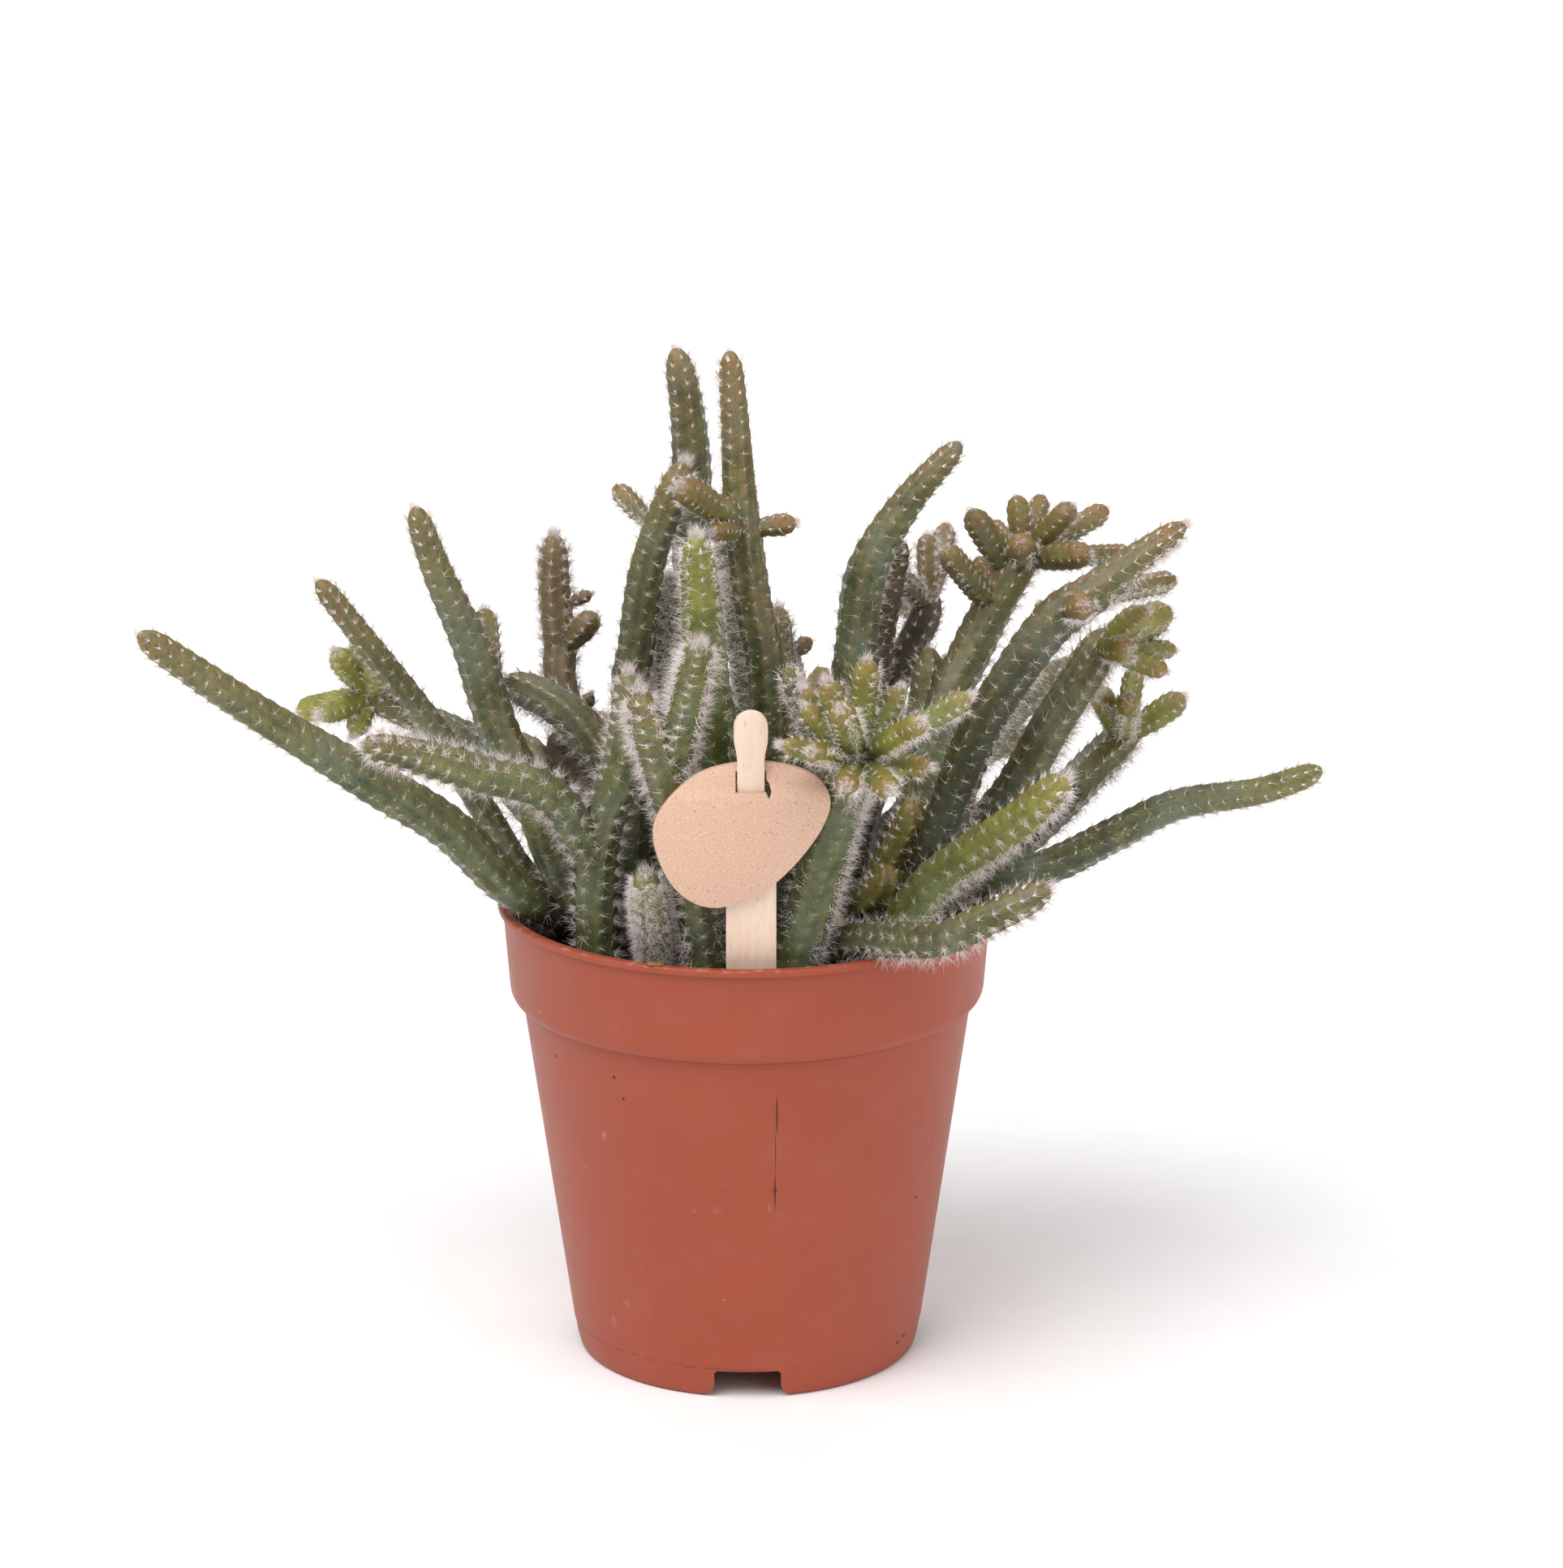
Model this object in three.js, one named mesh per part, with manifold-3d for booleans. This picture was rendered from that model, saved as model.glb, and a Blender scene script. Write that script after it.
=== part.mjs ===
// A many-stemmed bristly mistletoe cactus in a 9 cm grower's pot, with a bare tag on a wooden stick.
// Millimetres, +Z up. The pot stands on z = 0 around the Z axis, and the front looks towards -Y.
import * as THREE from "three";
import { mergeVertices } from "three/addons/utils/BufferGeometryUtils.js";
import Module from "manifold-3d";

const wasm = await Module();
wasm.setup();

// Driving dimensions

const GAP = 0.3; // clearance between pieces that touch on the real thing

const POT = {
  height: 86.5,
  lipRadius: 45.9,
  lipDepth: 1.3,
  bandTopRadius: 45,
  bandFootRadius: 43.9,
  bandFootZ: 71,
  shoulderZ: 67.5, // where the tapered wall meets the band
  wallTopRadius: 41.5,
  wallFootRadius: 32.4,
  wallFootZ: 3.4,
  footRadius: 31.2,
  footWall: 1.4,
  floorZ: 5.9,
  wall: 1,
  sides: 36,
};
const NOTCH = { width: 12.4, height: 5.5, corner: 2.2 };
const DRAIN = { radius: 3, circle: 23, count: 6 };

const SOIL = { level: 80.3, clear: 0.4 };

// The label leans out over the rim. Its heights are measured along the stick from the rim's level.
const LABEL = { x: 0.8, y: -40, lean: 5 };
const STICK = {
  width: 8.9,
  thick: 1.2,
  foot: -30,
  shoulder: 20,
  neckFoot: 25,
  neckWidth: 4.8,
  headFoot: 39.6,
  headWidth: 6,
  top: 47.3,
};
const TAG = { thick: 1, slotFoot: 32.4, slotTop: 35.8, edgePoints: 32 };
const TAG_OUTLINE = [
  [-17.2, 24.5],
  [-14.4, 31.5],
  [-7.5, 36],
  [2.5, 37.3],
  [11.2, 35],
  [13.9, 30.5],
  [10.6, 22.9],
  [3, 14.7],
  [-6.5, 11],
  [-13.6, 14.9],
];

const ROOT_Z = 70; // a stem's lower end, straight down from its first point
const RIBS = 8; // low ribs round a stem
const SHOOT_RIBS = 5;
const RIB_RISE = 0.06; // how far an areole stands out, as a share of the radius
const RIB_TURN = 0.012; // radians that the ribs wind for each millimetre
const RING_STEP = 13; // distance between the rings of a stem's surface
const SHOOT_STEP = 10;
const BRISTLE = { length: 3.4, root: 0.34, seat: 0.9, clear: 2.6, ownClear: 0.4 };

// Stems. A stem's route starts just above the soil, and its radii are those at the foot, at mid height and
// near the tip. A shoot leaves the centre line of its stem at a share of the route's length in points.

const shoot = (at, radius, ...route) => ({ at, radii: [radius, radius, radius], route });
const fork = (at, radii, ...route) => ({ at, radii, route });

const STEMS = {
  stem_left_long: {
    radii: [3.6, 3.8, 2.3],
    route: [[-31, -4, 82], [-43, -15, 93], [-54, -18, 105], [-68, -21, 115], [-89, -26, 130], [-107, -30, 144]],
  },
  stem_left_slanting: {
    radii: [3, 2.4, 2],
    route: [[-30, 5, 82], [-40, 1, 89], [-48, 4, 101], [-58, 10, 116], [-72, 13, 134], [-79, 14, 143]],
  },
  stem_left_whorled: {
    radii: [3.2, 2.9, 2.6],
    route: [[-22, 11, 82], [-41, 14, 100], [-47, 20, 108], [-55, 25, 111], [-64, 28, 114], [-73, 30, 118]],
    shoots: [
      shoot(1, 2.4, [-73, 33, 129]),
      shoot(1, 2.3, [-68, 20, 128]),
      shoot(1, 2.3, [-77, 24, 127]),
      shoot(1, 2.5, [-85, 36, 112]),
      shoot(1, 2.2, [-80, 22, 115]),
      shoot(1, 2.2, [-74, 26, 110]),
    ],
  },
  stem_left_tall: {
    radii: [3.5, 3.5, 2.2],
    route: [
      [-26, -13, 82], [-34, -15, 96], [-39, -10, 108], [-45, -4, 119],
      [-50, -1, 134], [-56, 0, 148], [-60, 0, 160],
    ],
    shoots: [shoot(0.61, 2.2, [-48, 8, 139])],
  },
  stem_left_front: {
    radii: [3.6, 3.7, 2.5],
    route: [[-27, -22, 82], [-27, -23, 99], [-25, -24, 110], [-22, -24, 117], [-21, -23, 127], [-21, -22, 135]],
    shoots: [fork(0.35, [3.5, 3.3, 2.4], [-35, -28, 114], [-46, -30, 118], [-58, -32, 122], [-68, -34, 125])],
  },
  stem_left_bent: {
    radii: [3.5, 3.6, 3.4],
    route: [[-17, -15, 82], [-21, -12, 96], [-22, -6, 108], [-28, 0, 116], [-35, 4, 122], [-45, 9, 125]],
  },
  stem_left_brown: {
    radii: [3.3, 3.1, 2.6],
    route: [[-15, 19, 82], [-33, 22, 115], [-35, 27, 128], [-36, 29, 138], [-36, 30, 148]],
    shoots: [
      shoot(0.56, 2.4, [-28, 24, 134]),
      shoot(0.71, 1.2, [-29, 28, 137]),
      shoot(0.38, 1.2, [-29, 19, 120]),
    ],
  },
  stem_left_woolly: {
    radii: [3.2, 3.6, 3.4],
    route: [[-21, -2, 82], [-25, 2, 95], [-31, 9, 106], [-36, 13, 114]],
  },
  stem_centre_tallest: {
    radii: [3.4, 3.4, 2.5],
    route: [[-5, 12, 82], [-10, 20, 141], [-10, 23, 160], [-11, 25, 173], [-13, 26, 184]],
  },
  stem_centre_curved: {
    radii: [3.3, 3.2, 2.6],
    route: [[-13, 4, 82], [-21, 3, 120], [-20, 3, 134], [-18, 3, 148], [-14, 4, 160], [-11, 6, 167]],
    shoots: [shoot(0.75, 1.7, [-24, 12, 161])],
  },
  stem_centre_slender: {
    radii: [3.5, 3.2, 2],
    route: [[4, -9, 82], [4, -9, 127], [1, -4, 144], [-1, 1, 160], [-2, 5, 174], [-3, 8, 187]],
    shoots: [
      shoot(0.62, 1.9, [9, 0, 157]),
      shoot(0.63, 2.4, [-12, -14, 167]),
      shoot(0.62, 1.7, [-6, -12, 158]),
    ],
  },
  stem_centre_light: {
    radii: [3.6, 3.8, 2.7],
    route: [[-3, -22, 82], [-5, -22, 120], [-7, -21, 133], [-8, -19, 147], [-9, -18, 159]],
  },
  stem_centre_hairy: {
    radii: [3.2, 2.8, 2.1],
    route: [[-9, -9, 82], [-13, 4, 122], [-14, 7, 133], [-14, 8, 145]],
  },
  stem_centre_woolly: {
    radii: [2.8, 2.4, 1.9],
    route: [[0, 2, 82], [0, 6, 124], [-2, 6, 135], [-3, 6, 140], [-4, 6, 145], [-5, 6, 152]],
  },
  stem_front_forked: {
    radii: [3.6, 3.7, 3.2],
    route: [[-7, -31, 82], [-11, -34, 107], [-14, -36, 119], [-17, -36, 128], [-19, -36, 135]],
    shoots: [shoot(0.58, 2.9, [-8, -38, 144])],
  },
  stem_front_woolly: {
    radii: [3.1, 3.3, 3.1],
    route: [[-16, -29, 82], [-17, -33, 93], [-18, -36, 102]],
  },
  stem_centre_short: {
    radii: [3.2, 3, 2.5],
    route: [[10, -1, 82], [10, 3, 108], [8, 5, 120], [7, 6, 128]],
  },
  stem_centre_back: {
    radii: [3.1, 2.8, 2.2],
    route: [[7, 11, 82], [7, 16, 118], [6, 20, 128], [6, 22, 136]],
    shoots: [shoot(0.68, 1.5, [12, 24, 129])],
  },
  stem_right_arching: {
    radii: [3.6, 3.7, 2],
    route: [[14, -16, 82], [18, -2, 120], [20, 2, 134], [22, 4, 147], [29, 6, 159], [39, 8, 170]],
  },
  stem_right_dark: {
    radii: [2.8, 2.9, 3.1],
    route: [[18, 4, 82], [25, 21, 109], [28, 28, 121], [33, 32, 130], [35, 34, 136]],
    shoots: [
      fork(0.3, [2.2, 2.2, 1.9], [25, 24, 127], [27, 24, 138], [29, 24, 148]),
      shoot(1, 1.9, [34, 38, 146]),
      shoot(1, 1.9, [38, 46, 146]),
      shoot(1, 2, [28, 26, 141]),
      shoot(0.81, 1.5, [28, 40, 133]),
    ],
  },
  stem_right_crowned: {
    radii: [3.5, 3.7, 3.4],
    route: [[27, -4, 82], [36, 7, 118], [41, 12, 129], [47, 16, 140], [53, 18, 149]],
    shoots: [
      fork(0.22, [2.6, 3, 2.6], [33, 12, 121], [34, 14, 130]),
      shoot(0.86, 2.3, [41, 14, 156]),
      shoot(1, 2.1, [50, 22, 157]),
      shoot(1, 1.8, [55, 30, 155]),
      shoot(1, 2.2, [60, 14, 157]),
      shoot(1, 1.9, [67, 24, 154]),
      shoot(0.98, 2.4, [63, 8, 149]),
      shoot(1, 1.8, [72, 34, 143]),
      shoot(0.93, 2.6, [50, 4, 152]),
      shoot(0.75, 2.2, [36, 4, 151]),
      shoot(0.79, 1.5, [43, 26, 144]),
      shoot(0.97, 1.3, [46, 30, 150]),
    ],
  },
  stem_right_leaning: {
    radii: [3.6, 3.9, 1.8],
    route: [
      [29, -18, 82], [40, -14, 117], [47, -12, 130], [55, -11, 141],
      [62, -10, 146], [70, -8, 152], [79, -6, 158],
    ],
    shoots: [shoot(0.7, 1.9, [78, 5, 145]), shoot(0.56, 1.1, [53, -4, 143]), shoot(0.63, 2.4, [60, -22, 147])],
  },
  stem_right_branched: {
    radii: [3.6, 3.8, 3.6],
    route: [[34, -10, 82], [41, -7, 98], [49, -4, 108], [56, -1, 120], [62, 2, 129], [66, 4, 136]],
    shoots: [
      shoot(0.97, 2.9, [78, 14, 137]),
      shoot(0.97, 2.4, [73, 3, 140]),
      shoot(1, 1.6, [79, 12, 130]),
      shoot(0.95, 1.9, [77, 4, 128]),
      shoot(0.95, 2.2, [69, -8, 135]),
    ],
  },
  stem_right_low: {
    radii: [3.5, 3.7, 3.5],
    route: [[25, 9, 82], [47, 7, 93], [57, 9, 101], [66, 19, 107], [73, 25, 112]],
    shoots: [
      shoot(0.97, 2.3, [82, 24, 118]),
      shoot(0.97, 1.9, [73, 30, 122]),
      shoot(0.93, 2.3, [65, 12, 122]),
      shoot(0.95, 2.2, [70, 6, 122]),
    ],
  },
  stem_right_bright: {
    radii: [3.5, 3.6, 3.1],
    route: [[25, -27, 82], [32, -25, 95], [41, -27, 103], [49, -30, 110], [57, -31, 118]],
  },
  stem_right_long: {
    radii: [3.4, 3, 2.2],
    route: [[34, 2, 82], [39, -1, 89], [54, -8, 94], [68, 4, 97], [80, 13, 100], [96, 19, 101], [108, 23, 104]],
  },
  stem_right_over_rim: {
    radii: [3.1, 3, 2.6],
    route: [[13, -26, 82], [20, -32, 88], [33, -48, 93], [42, -52, 98], [53, -53, 104]],
  },
  stem_front_star: {
    radii: [4, 4.1, 4],
    route: [[8, -33, 82], [12, -34, 97], [14, -36, 106], [17, -39, 117], [20, -49, 128]],
    shoots: [
      shoot(1, 2, [10, -46, 135]),
      shoot(1, 2.1, [14, -48, 140]),
      shoot(1, 2.3, [16, -62, 139]),
      shoot(1, 2.1, [21, -48, 144]),
      shoot(1, 1.9, [27, -44, 138]),
      shoot(1, 2, [30, -60, 136]),
      shoot(1, 1.8, [39, -47, 137]),
      shoot(1, 1.9, [11, -61, 131]),
      shoot(1, 1.7, [6, -50, 129]),
      shoot(1, 2, [17, -62, 125]),
      shoot(1, 2.1, [25, -61, 124]),
      shoot(1, 1.8, [32, -50, 125]),
      shoot(0.9, 1.5, [10, -42, 137]),
      fork(0.75, [1.3, 1.5, 1.4], [10, -37, 130], [7, -39, 140]),
    ],
  },
  stem_right_short: {
    radii: [3.6, 3.8, 3.3],
    route: [[18, -6, 82], [25, -12, 91], [25, -10, 96]],
    shoots: [fork(0.45, [2.8, 3.2, 3], [29, -10, 101], [30, -11, 108])],
  },
  stem_front_sprout: {
    radii: [2, 2, 1.9],
    route: [[18, -22, 82], [16, -20, 89]],
    shoots: [shoot(0.5, 1.7, [21.5, -26.5, 88])],
  },
  stem_back_left: {
    radii: [3.5, 3.5, 2.6],
    route: [[-15, 28, 82], [-19, 41, 95], [-26, 52, 102], [-30, 62, 104]],
  },
  stem_back_middle: {
    radii: [3.5, 3.6, 2.7],
    route: [[1, 33, 82], [-3, 42, 97], [-6, 54, 107], [-8, 63, 112]],
  },
  stem_back_right: {
    radii: [3.5, 3.4, 2.5],
    route: [[11, 30, 82], [20, 41, 94], [30, 53, 103], [36, 62, 108]],
  },
  stem_back_far_right: {
    radii: [3.4, 3.4, 2.6],
    route: [[26, 19, 82], [38, 29, 100], [54, 42, 114], [66, 50, 118]],
  },
  stem_back_far_left: {
    radii: [3.4, 3.4, 2.6],
    route: [[-29, 17, 82], [-40, 27, 98], [-53, 36, 104], [-66, 44, 104]],
  },
  stem_back_star: {
    radii: [3.4, 3.4, 3],
    route: [[8, 20, 82], [9, 41, 104], [11, 50, 110]],
    shoots: [
      shoot(0.97, 2.1, [2, 58, 117]),
      shoot(0.97, 2.1, [15, 62, 113]),
      shoot(0.97, 2, [22, 54, 114]),
      shoot(0.97, 2, [8, 46, 121]),
    ],
  },
  stem_back_upright: {
    radii: [3.3, 3.2, 2.5],
    route: [[-7, 22, 82], [-18, 39, 114], [-22, 46, 121]],
  },
  stem_back_whorled: {
    radii: [3.4, 3.4, 3.2],
    route: [[-24, 24, 82], [-41, 39, 102], [-50, 48, 99]],
    shoots: [
      shoot(1, 2.1, [-60, 52, 104]),
      shoot(1, 2, [-52, 60, 102]),
      shoot(1, 2, [-57, 56, 95]),
      shoot(1, 1.9, [-50, 46, 108]),
    ],
  },
  stem_back_low: {
    radii: [3.3, 3.3, 2.5],
    route: [[20, 26, 82], [44, 42, 102], [58, 58, 100]],
  },
};

// Colours of the stems that differ from the usual grey-green.
const STEM_COLOURS = {
  stem_centre_light: "#7c8a3f",
  stem_right_bright: "#7f8c43",
  stem_right_short: "#75853c",
  stem_front_sprout: "#75853c",
  stem_left_brown: "#6c5f45",
  stem_left_woolly: "#5c5040",
  stem_right_dark: "#55503a",
};

// Solids

// A closed geometry as a solid, with its shared vertices merged.
function toSolid(geometry) {
  const bare = geometry.clone();
  bare.deleteAttribute("normal");
  bare.deleteAttribute("uv");
  const merged = mergeVertices(bare, 1e-4);
  return new wasm.Manifold(
    new wasm.Mesh({
      numProp: 3,
      vertProperties: merged.attributes.position.array,
      triVerts: new Uint32Array(merged.index.array),
    }),
  );
}

function toGeometry(solid) {
  const mesh = solid.getMesh();
  const geometry = new THREE.BufferGeometry();
  geometry.setAttribute("position", new THREE.BufferAttribute(mesh.vertProperties, 3));
  geometry.setIndex(new THREE.BufferAttribute(mesh.triVerts, 1));
  geometry.computeVertexNormals();
  return geometry;
}

// Geometries fused into one body. A hollow that the fusing seals off is filled, and scraps are dropped.
function join(geometries) {
  const fused = geometries.map(toSolid).reduce((whole, piece) => whole.add(piece));
  return fused.decompose().reduce((largest, body) => (body.volume() > largest.volume() ? body : largest));
}

function cut(solid, geometries) {
  return geometries.reduce((rest, tool) => rest.subtract(toSolid(tool)), solid);
}

// A flat outline in x and z, given thickness along y and centred on y = 0.
function plate(shape, thickness, curveSegments = 6) {
  const geometry = new THREE.ExtrudeGeometry(shape, { depth: thickness, bevelEnabled: false, curveSegments });
  return geometry.translate(0, 0, -thickness / 2).rotateX(Math.PI / 2);
}

function lathe(profile, sides) {
  const points = profile.map(([r, z]) => new THREE.Vector2(r, z));
  return new THREE.LatheGeometry(points, sides).rotateX(Math.PI / 2);
}

// Pot and soil

// Radius of the wall's inner face at a height below the band.
function innerRadius(z) {
  const share = (z - POT.wallFootZ) / (POT.shoulderZ - POT.wallFootZ);
  return THREE.MathUtils.lerp(POT.wallFootRadius, POT.wallTopRadius, share) - POT.wall;
}

function potGeometry() {
  const bandFootInner = POT.bandFootRadius - POT.wall;
  const floorTop = POT.floorZ + POT.wall;
  const body = lathe(
    [
      [0, POT.floorZ],
      [POT.footRadius - POT.footWall, POT.floorZ],
      [POT.footRadius - POT.footWall, 0],
      [POT.footRadius - 0.3, 0],
      [POT.footRadius + 0.5, 0.9],
      [POT.wallFootRadius, POT.wallFootZ],
      [POT.wallTopRadius, POT.shoulderZ],
      [POT.bandFootRadius - 0.6, POT.shoulderZ + 1.2],
      [POT.bandFootRadius, POT.bandFootZ],
      [POT.bandTopRadius, POT.height - POT.lipDepth - 0.2],
      [POT.lipRadius, POT.height - POT.lipDepth],
      [POT.lipRadius, POT.height - 0.3],
      [POT.lipRadius - 0.3, POT.height],
      [POT.bandTopRadius - POT.wall, POT.height],
      [bandFootInner, POT.bandFootZ],
      [innerRadius(POT.shoulderZ), POT.shoulderZ + 0.6],
      [innerRadius(floorTop), floorTop],
      [0, floorTop],
    ],
    POT.sides,
  );
  const tools = [0, 1].map((quarter) => notchTool().rotateZ((quarter * Math.PI) / 2));
  for (let i = 0; i < DRAIN.count; i++) {
    const angle = ((i + 0.5) * 2 * Math.PI) / DRAIN.count;
    const hole = new THREE.CylinderGeometry(DRAIN.radius, DRAIN.radius, 4, 8).rotateX(Math.PI / 2);
    tools.push(hole.translate(DRAIN.circle * Math.cos(angle), DRAIN.circle * Math.sin(angle), floorTop - 0.5));
  }
  return toGeometry(cut(toSolid(body), tools));
}

// Cuts a pair of opposite notches through the foot ring, whose ends are rounded at the bottom.
function notchTool() {
  const { width, height, corner } = NOTCH;
  const side = width / 2;
  const shape = new THREE.Shape();
  shape.moveTo(-side - corner, -1);
  shape.lineTo(side + corner, -1);
  shape.lineTo(side + corner, 0);
  shape.absarc(side + corner, corner, corner, -Math.PI / 2, -Math.PI, true);
  shape.lineTo(side, height);
  shape.lineTo(-side, height);
  shape.absarc(-side - corner, corner, corner, 0, -Math.PI / 2, true);
  return plate(shape, 2 * POT.wallFootRadius + 4, 3);
}

// The soil fills the pot to a level below the rim, a little clear of the wall.
function soilGeometry(holes) {
  const clear = SOIL.clear;
  const bottom = POT.floorZ + POT.wall + clear;
  const bandInner = POT.bandFootRadius - POT.wall - clear;
  const rimInner = POT.bandTopRadius - POT.wall - clear;
  const share = (SOIL.level - 1 - POT.bandFootZ) / (POT.height - POT.bandFootZ);
  const body = lathe(
    [
      [0, bottom],
      [innerRadius(bottom) - clear, bottom],
      [innerRadius(POT.shoulderZ) - clear, POT.shoulderZ + 0.6],
      [bandInner, POT.bandFootZ],
      [THREE.MathUtils.lerp(bandInner, rimInner, share), SOIL.level - 1],
      [rimInner - 3, SOIL.level],
      [0, SOIL.level],
    ],
    POT.sides,
  );
  return toGeometry(cut(toSolid(body), holes));
}

// Label

function stickShape(extra = 0) {
  const half = STICK.width / 2 + extra;
  const neck = STICK.neckWidth / 2 + extra;
  const head = STICK.headWidth / 2 + extra;
  const shape = new THREE.Shape();
  shape.moveTo(-half, STICK.foot - extra);
  shape.lineTo(half, STICK.foot - extra);
  shape.lineTo(half, STICK.shoulder);
  shape.lineTo(neck, STICK.neckFoot);
  shape.lineTo(neck, STICK.headFoot - 1);
  shape.quadraticCurveTo(neck, STICK.headFoot + 0.6, head, STICK.headFoot + 2);
  shape.lineTo(head, STICK.top - head);
  shape.absarc(0, STICK.top - head, head, 0, Math.PI, false);
  shape.lineTo(-head, STICK.headFoot + 2);
  shape.quadraticCurveTo(-neck, STICK.headFoot + 0.6, -neck, STICK.headFoot - 1);
  shape.lineTo(-neck, STICK.neckFoot);
  shape.lineTo(-half, STICK.shoulder);
  return shape;
}

// The tag hangs in front of the stick, and its top is bent back through its slot behind the neck.
function tagGeometry() {
  const reach = STICK.thick / 2 + GAP + TAG.thick / 2;
  const middle = [
    [-reach, 5],
    [-reach, TAG.slotFoot],
    [reach, TAG.slotTop],
    [reach, 42],
  ];
  const half = TAG.thick / 2;
  const side = new THREE.Shape();
  middle.forEach(([y, s], i) => (i ? side.lineTo(y - half, s) : side.moveTo(y - half, s)));
  middle.reverse().forEach(([y, s]) => side.lineTo(y + half, s));
  const strip = plate(side, 40).rotateZ(Math.PI / 2);

  const edge = new THREE.CatmullRomCurve3(
    TAG_OUTLINE.map(([x, s]) => new THREE.Vector3(x, s, 0)),
    true,
    "catmullrom",
    0.5,
  );
  const corners = edge.getPoints(TAG.edgePoints).slice(0, -1);
  const outline = new THREE.Shape(corners.map((p) => new THREE.Vector2(p.x, p.y)));
  const slotHeight = TAG.slotTop - TAG.slotFoot;
  const slot = new THREE.BoxGeometry(STICK.neckWidth + 2 * GAP, 8, slotHeight);
  slot.translate(0, 0, (TAG.slotFoot + TAG.slotTop) / 2);
  return toGeometry(cut(toSolid(strip).intersect(toSolid(plate(outline, 20))), [slot]));
}

function placeLabel(object) {
  object.position.set(LABEL.x, LABEL.y, POT.height);
  object.rotation.x = THREE.MathUtils.degToRad(LABEL.lean);
  return object;
}

// Stems

// A small repeatable random number source for each stem.
function randomFrom(seed) {
  let state = seed * 7919 + 17;
  return () => {
    state = (state * 16807) % 2147483647;
    return state / 2147483647;
  };
}

function curveThrough(points) {
  return new THREE.CatmullRomCurve3(
    points.map((p) => new THREE.Vector3(...p)),
    false,
    "catmullrom",
    0.5,
  );
}

// Radius at a share of the route, from the radii at the foot, at 65% and at the tip.
function radiusAt(radii, t) {
  const [foot, middle, tip] = radii;
  const split = 0.65;
  return t < split
    ? THREE.MathUtils.lerp(foot, middle, t / split)
    : THREE.MathUtils.lerp(middle, tip, (t - split) / (1 - split));
}

// The share of a route that its domed tip takes up.
function domeShare(curve, points, tipRadius) {
  const spans = points.length - 1;
  const lastSpan = curve.getPoint(1 - 1 / spans).distanceTo(curve.getPoint(1));
  return tipRadius / lastSpan / spans;
}

// The stations of a limb from foot to tip: centre, direction and radius.
function limbStations(points, radii, step) {
  const curve = curveThrough(points);
  const spans = points.length - 1;
  const stations = [];
  for (let span = 0; span < spans; span++) {
    const from = curve.getPoint(span / spans);
    const to = curve.getPoint((span + 1) / spans);
    const count = Math.max(1, Math.round(from.distanceTo(to) / step));
    for (let i = 0; i < count; i++) stations.push((span + i / count) / spans);
  }
  const end = 1 - domeShare(curve, points, radii[2]);
  const kept = stations.filter((t) => t < end - 0.04);
  return [...kept, end].map((t) => ({
    centre: curve.getPoint(t),
    along: curve.getTangent(t),
    radius: radiusAt(radii, t),
  }));
}

// The stem's end: one ring drawn in on a dome, and its top point.
function domeStations({ centre, along, radius }) {
  const shoulder = centre.clone().addScaledVector(along, radius * 0.62);
  const top = centre.clone().addScaledVector(along, radius);
  return { ring: { centre: shoulder, along, radius: radius * 0.72 }, top };
}

function isRaised(rib, ring) {
  return (rib + ring) % 2 === 0;
}

// Corner points of each ring: ribs wind slowly, and every second one stands out as an areole.
function ringPoints(stations, ribs) {
  const across = new THREE.Vector3(1, 0, 0);
  let travelled = 0;
  return stations.map(({ centre, along, radius, straight }, k) => {
    if (!straight && k) travelled += centre.distanceTo(stations[k - 1].centre);
    across.addScaledVector(along, -across.dot(along)).normalize();
    const up = new THREE.Vector3().crossVectors(along, across);
    const turn = RIB_TURN * travelled;
    const points = [];
    for (let j = 0; j < ribs; j++) {
      const angle = turn + (2 * Math.PI * j) / ribs;
      const relief = isRaised(j, k) ? RIB_RISE : -RIB_RISE / 2;
      const reach = radius * (straight ? 1 : 1 + relief);
      points.push(
        centre
          .clone()
          .addScaledVector(across, reach * Math.cos(angle))
          .addScaledVector(up, reach * Math.sin(angle)),
      );
    }
    return points;
  });
}

class Surface {
  constructor() {
    this.positions = [];
  }
  add(a, b, c) {
    this.positions.push(a.x, a.y, a.z, b.x, b.y, b.z, c.x, c.y, c.z);
  }
  // A face with a bristle raised from it, near its first corner.
  addWithBristle(a, b, c, tip) {
    const inward = b.clone().add(c).multiplyScalar(0.5).sub(a).setLength(BRISTLE.seat);
    const seat = a.clone().add(inward);
    const [pa, pb, pc] = [a, b, c].map((corner) => {
      const spread = corner.clone().sub(seat);
      return seat.clone().add(spread.setLength(Math.min(BRISTLE.root, spread.length() * 0.5)));
    });
    this.add(a, b, pb);
    this.add(a, pb, pa);
    this.add(b, c, pc);
    this.add(b, pc, pb);
    this.add(c, a, pa);
    this.add(c, pa, pc);
    this.add(pa, pb, tip);
    this.add(pb, pc, tip);
    this.add(pc, pa, tip);
  }
  toGeometry() {
    const geometry = new THREE.BufferGeometry();
    geometry.setAttribute("position", new THREE.BufferAttribute(new Float32Array(this.positions), 3));
    return geometry;
  }
}

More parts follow.
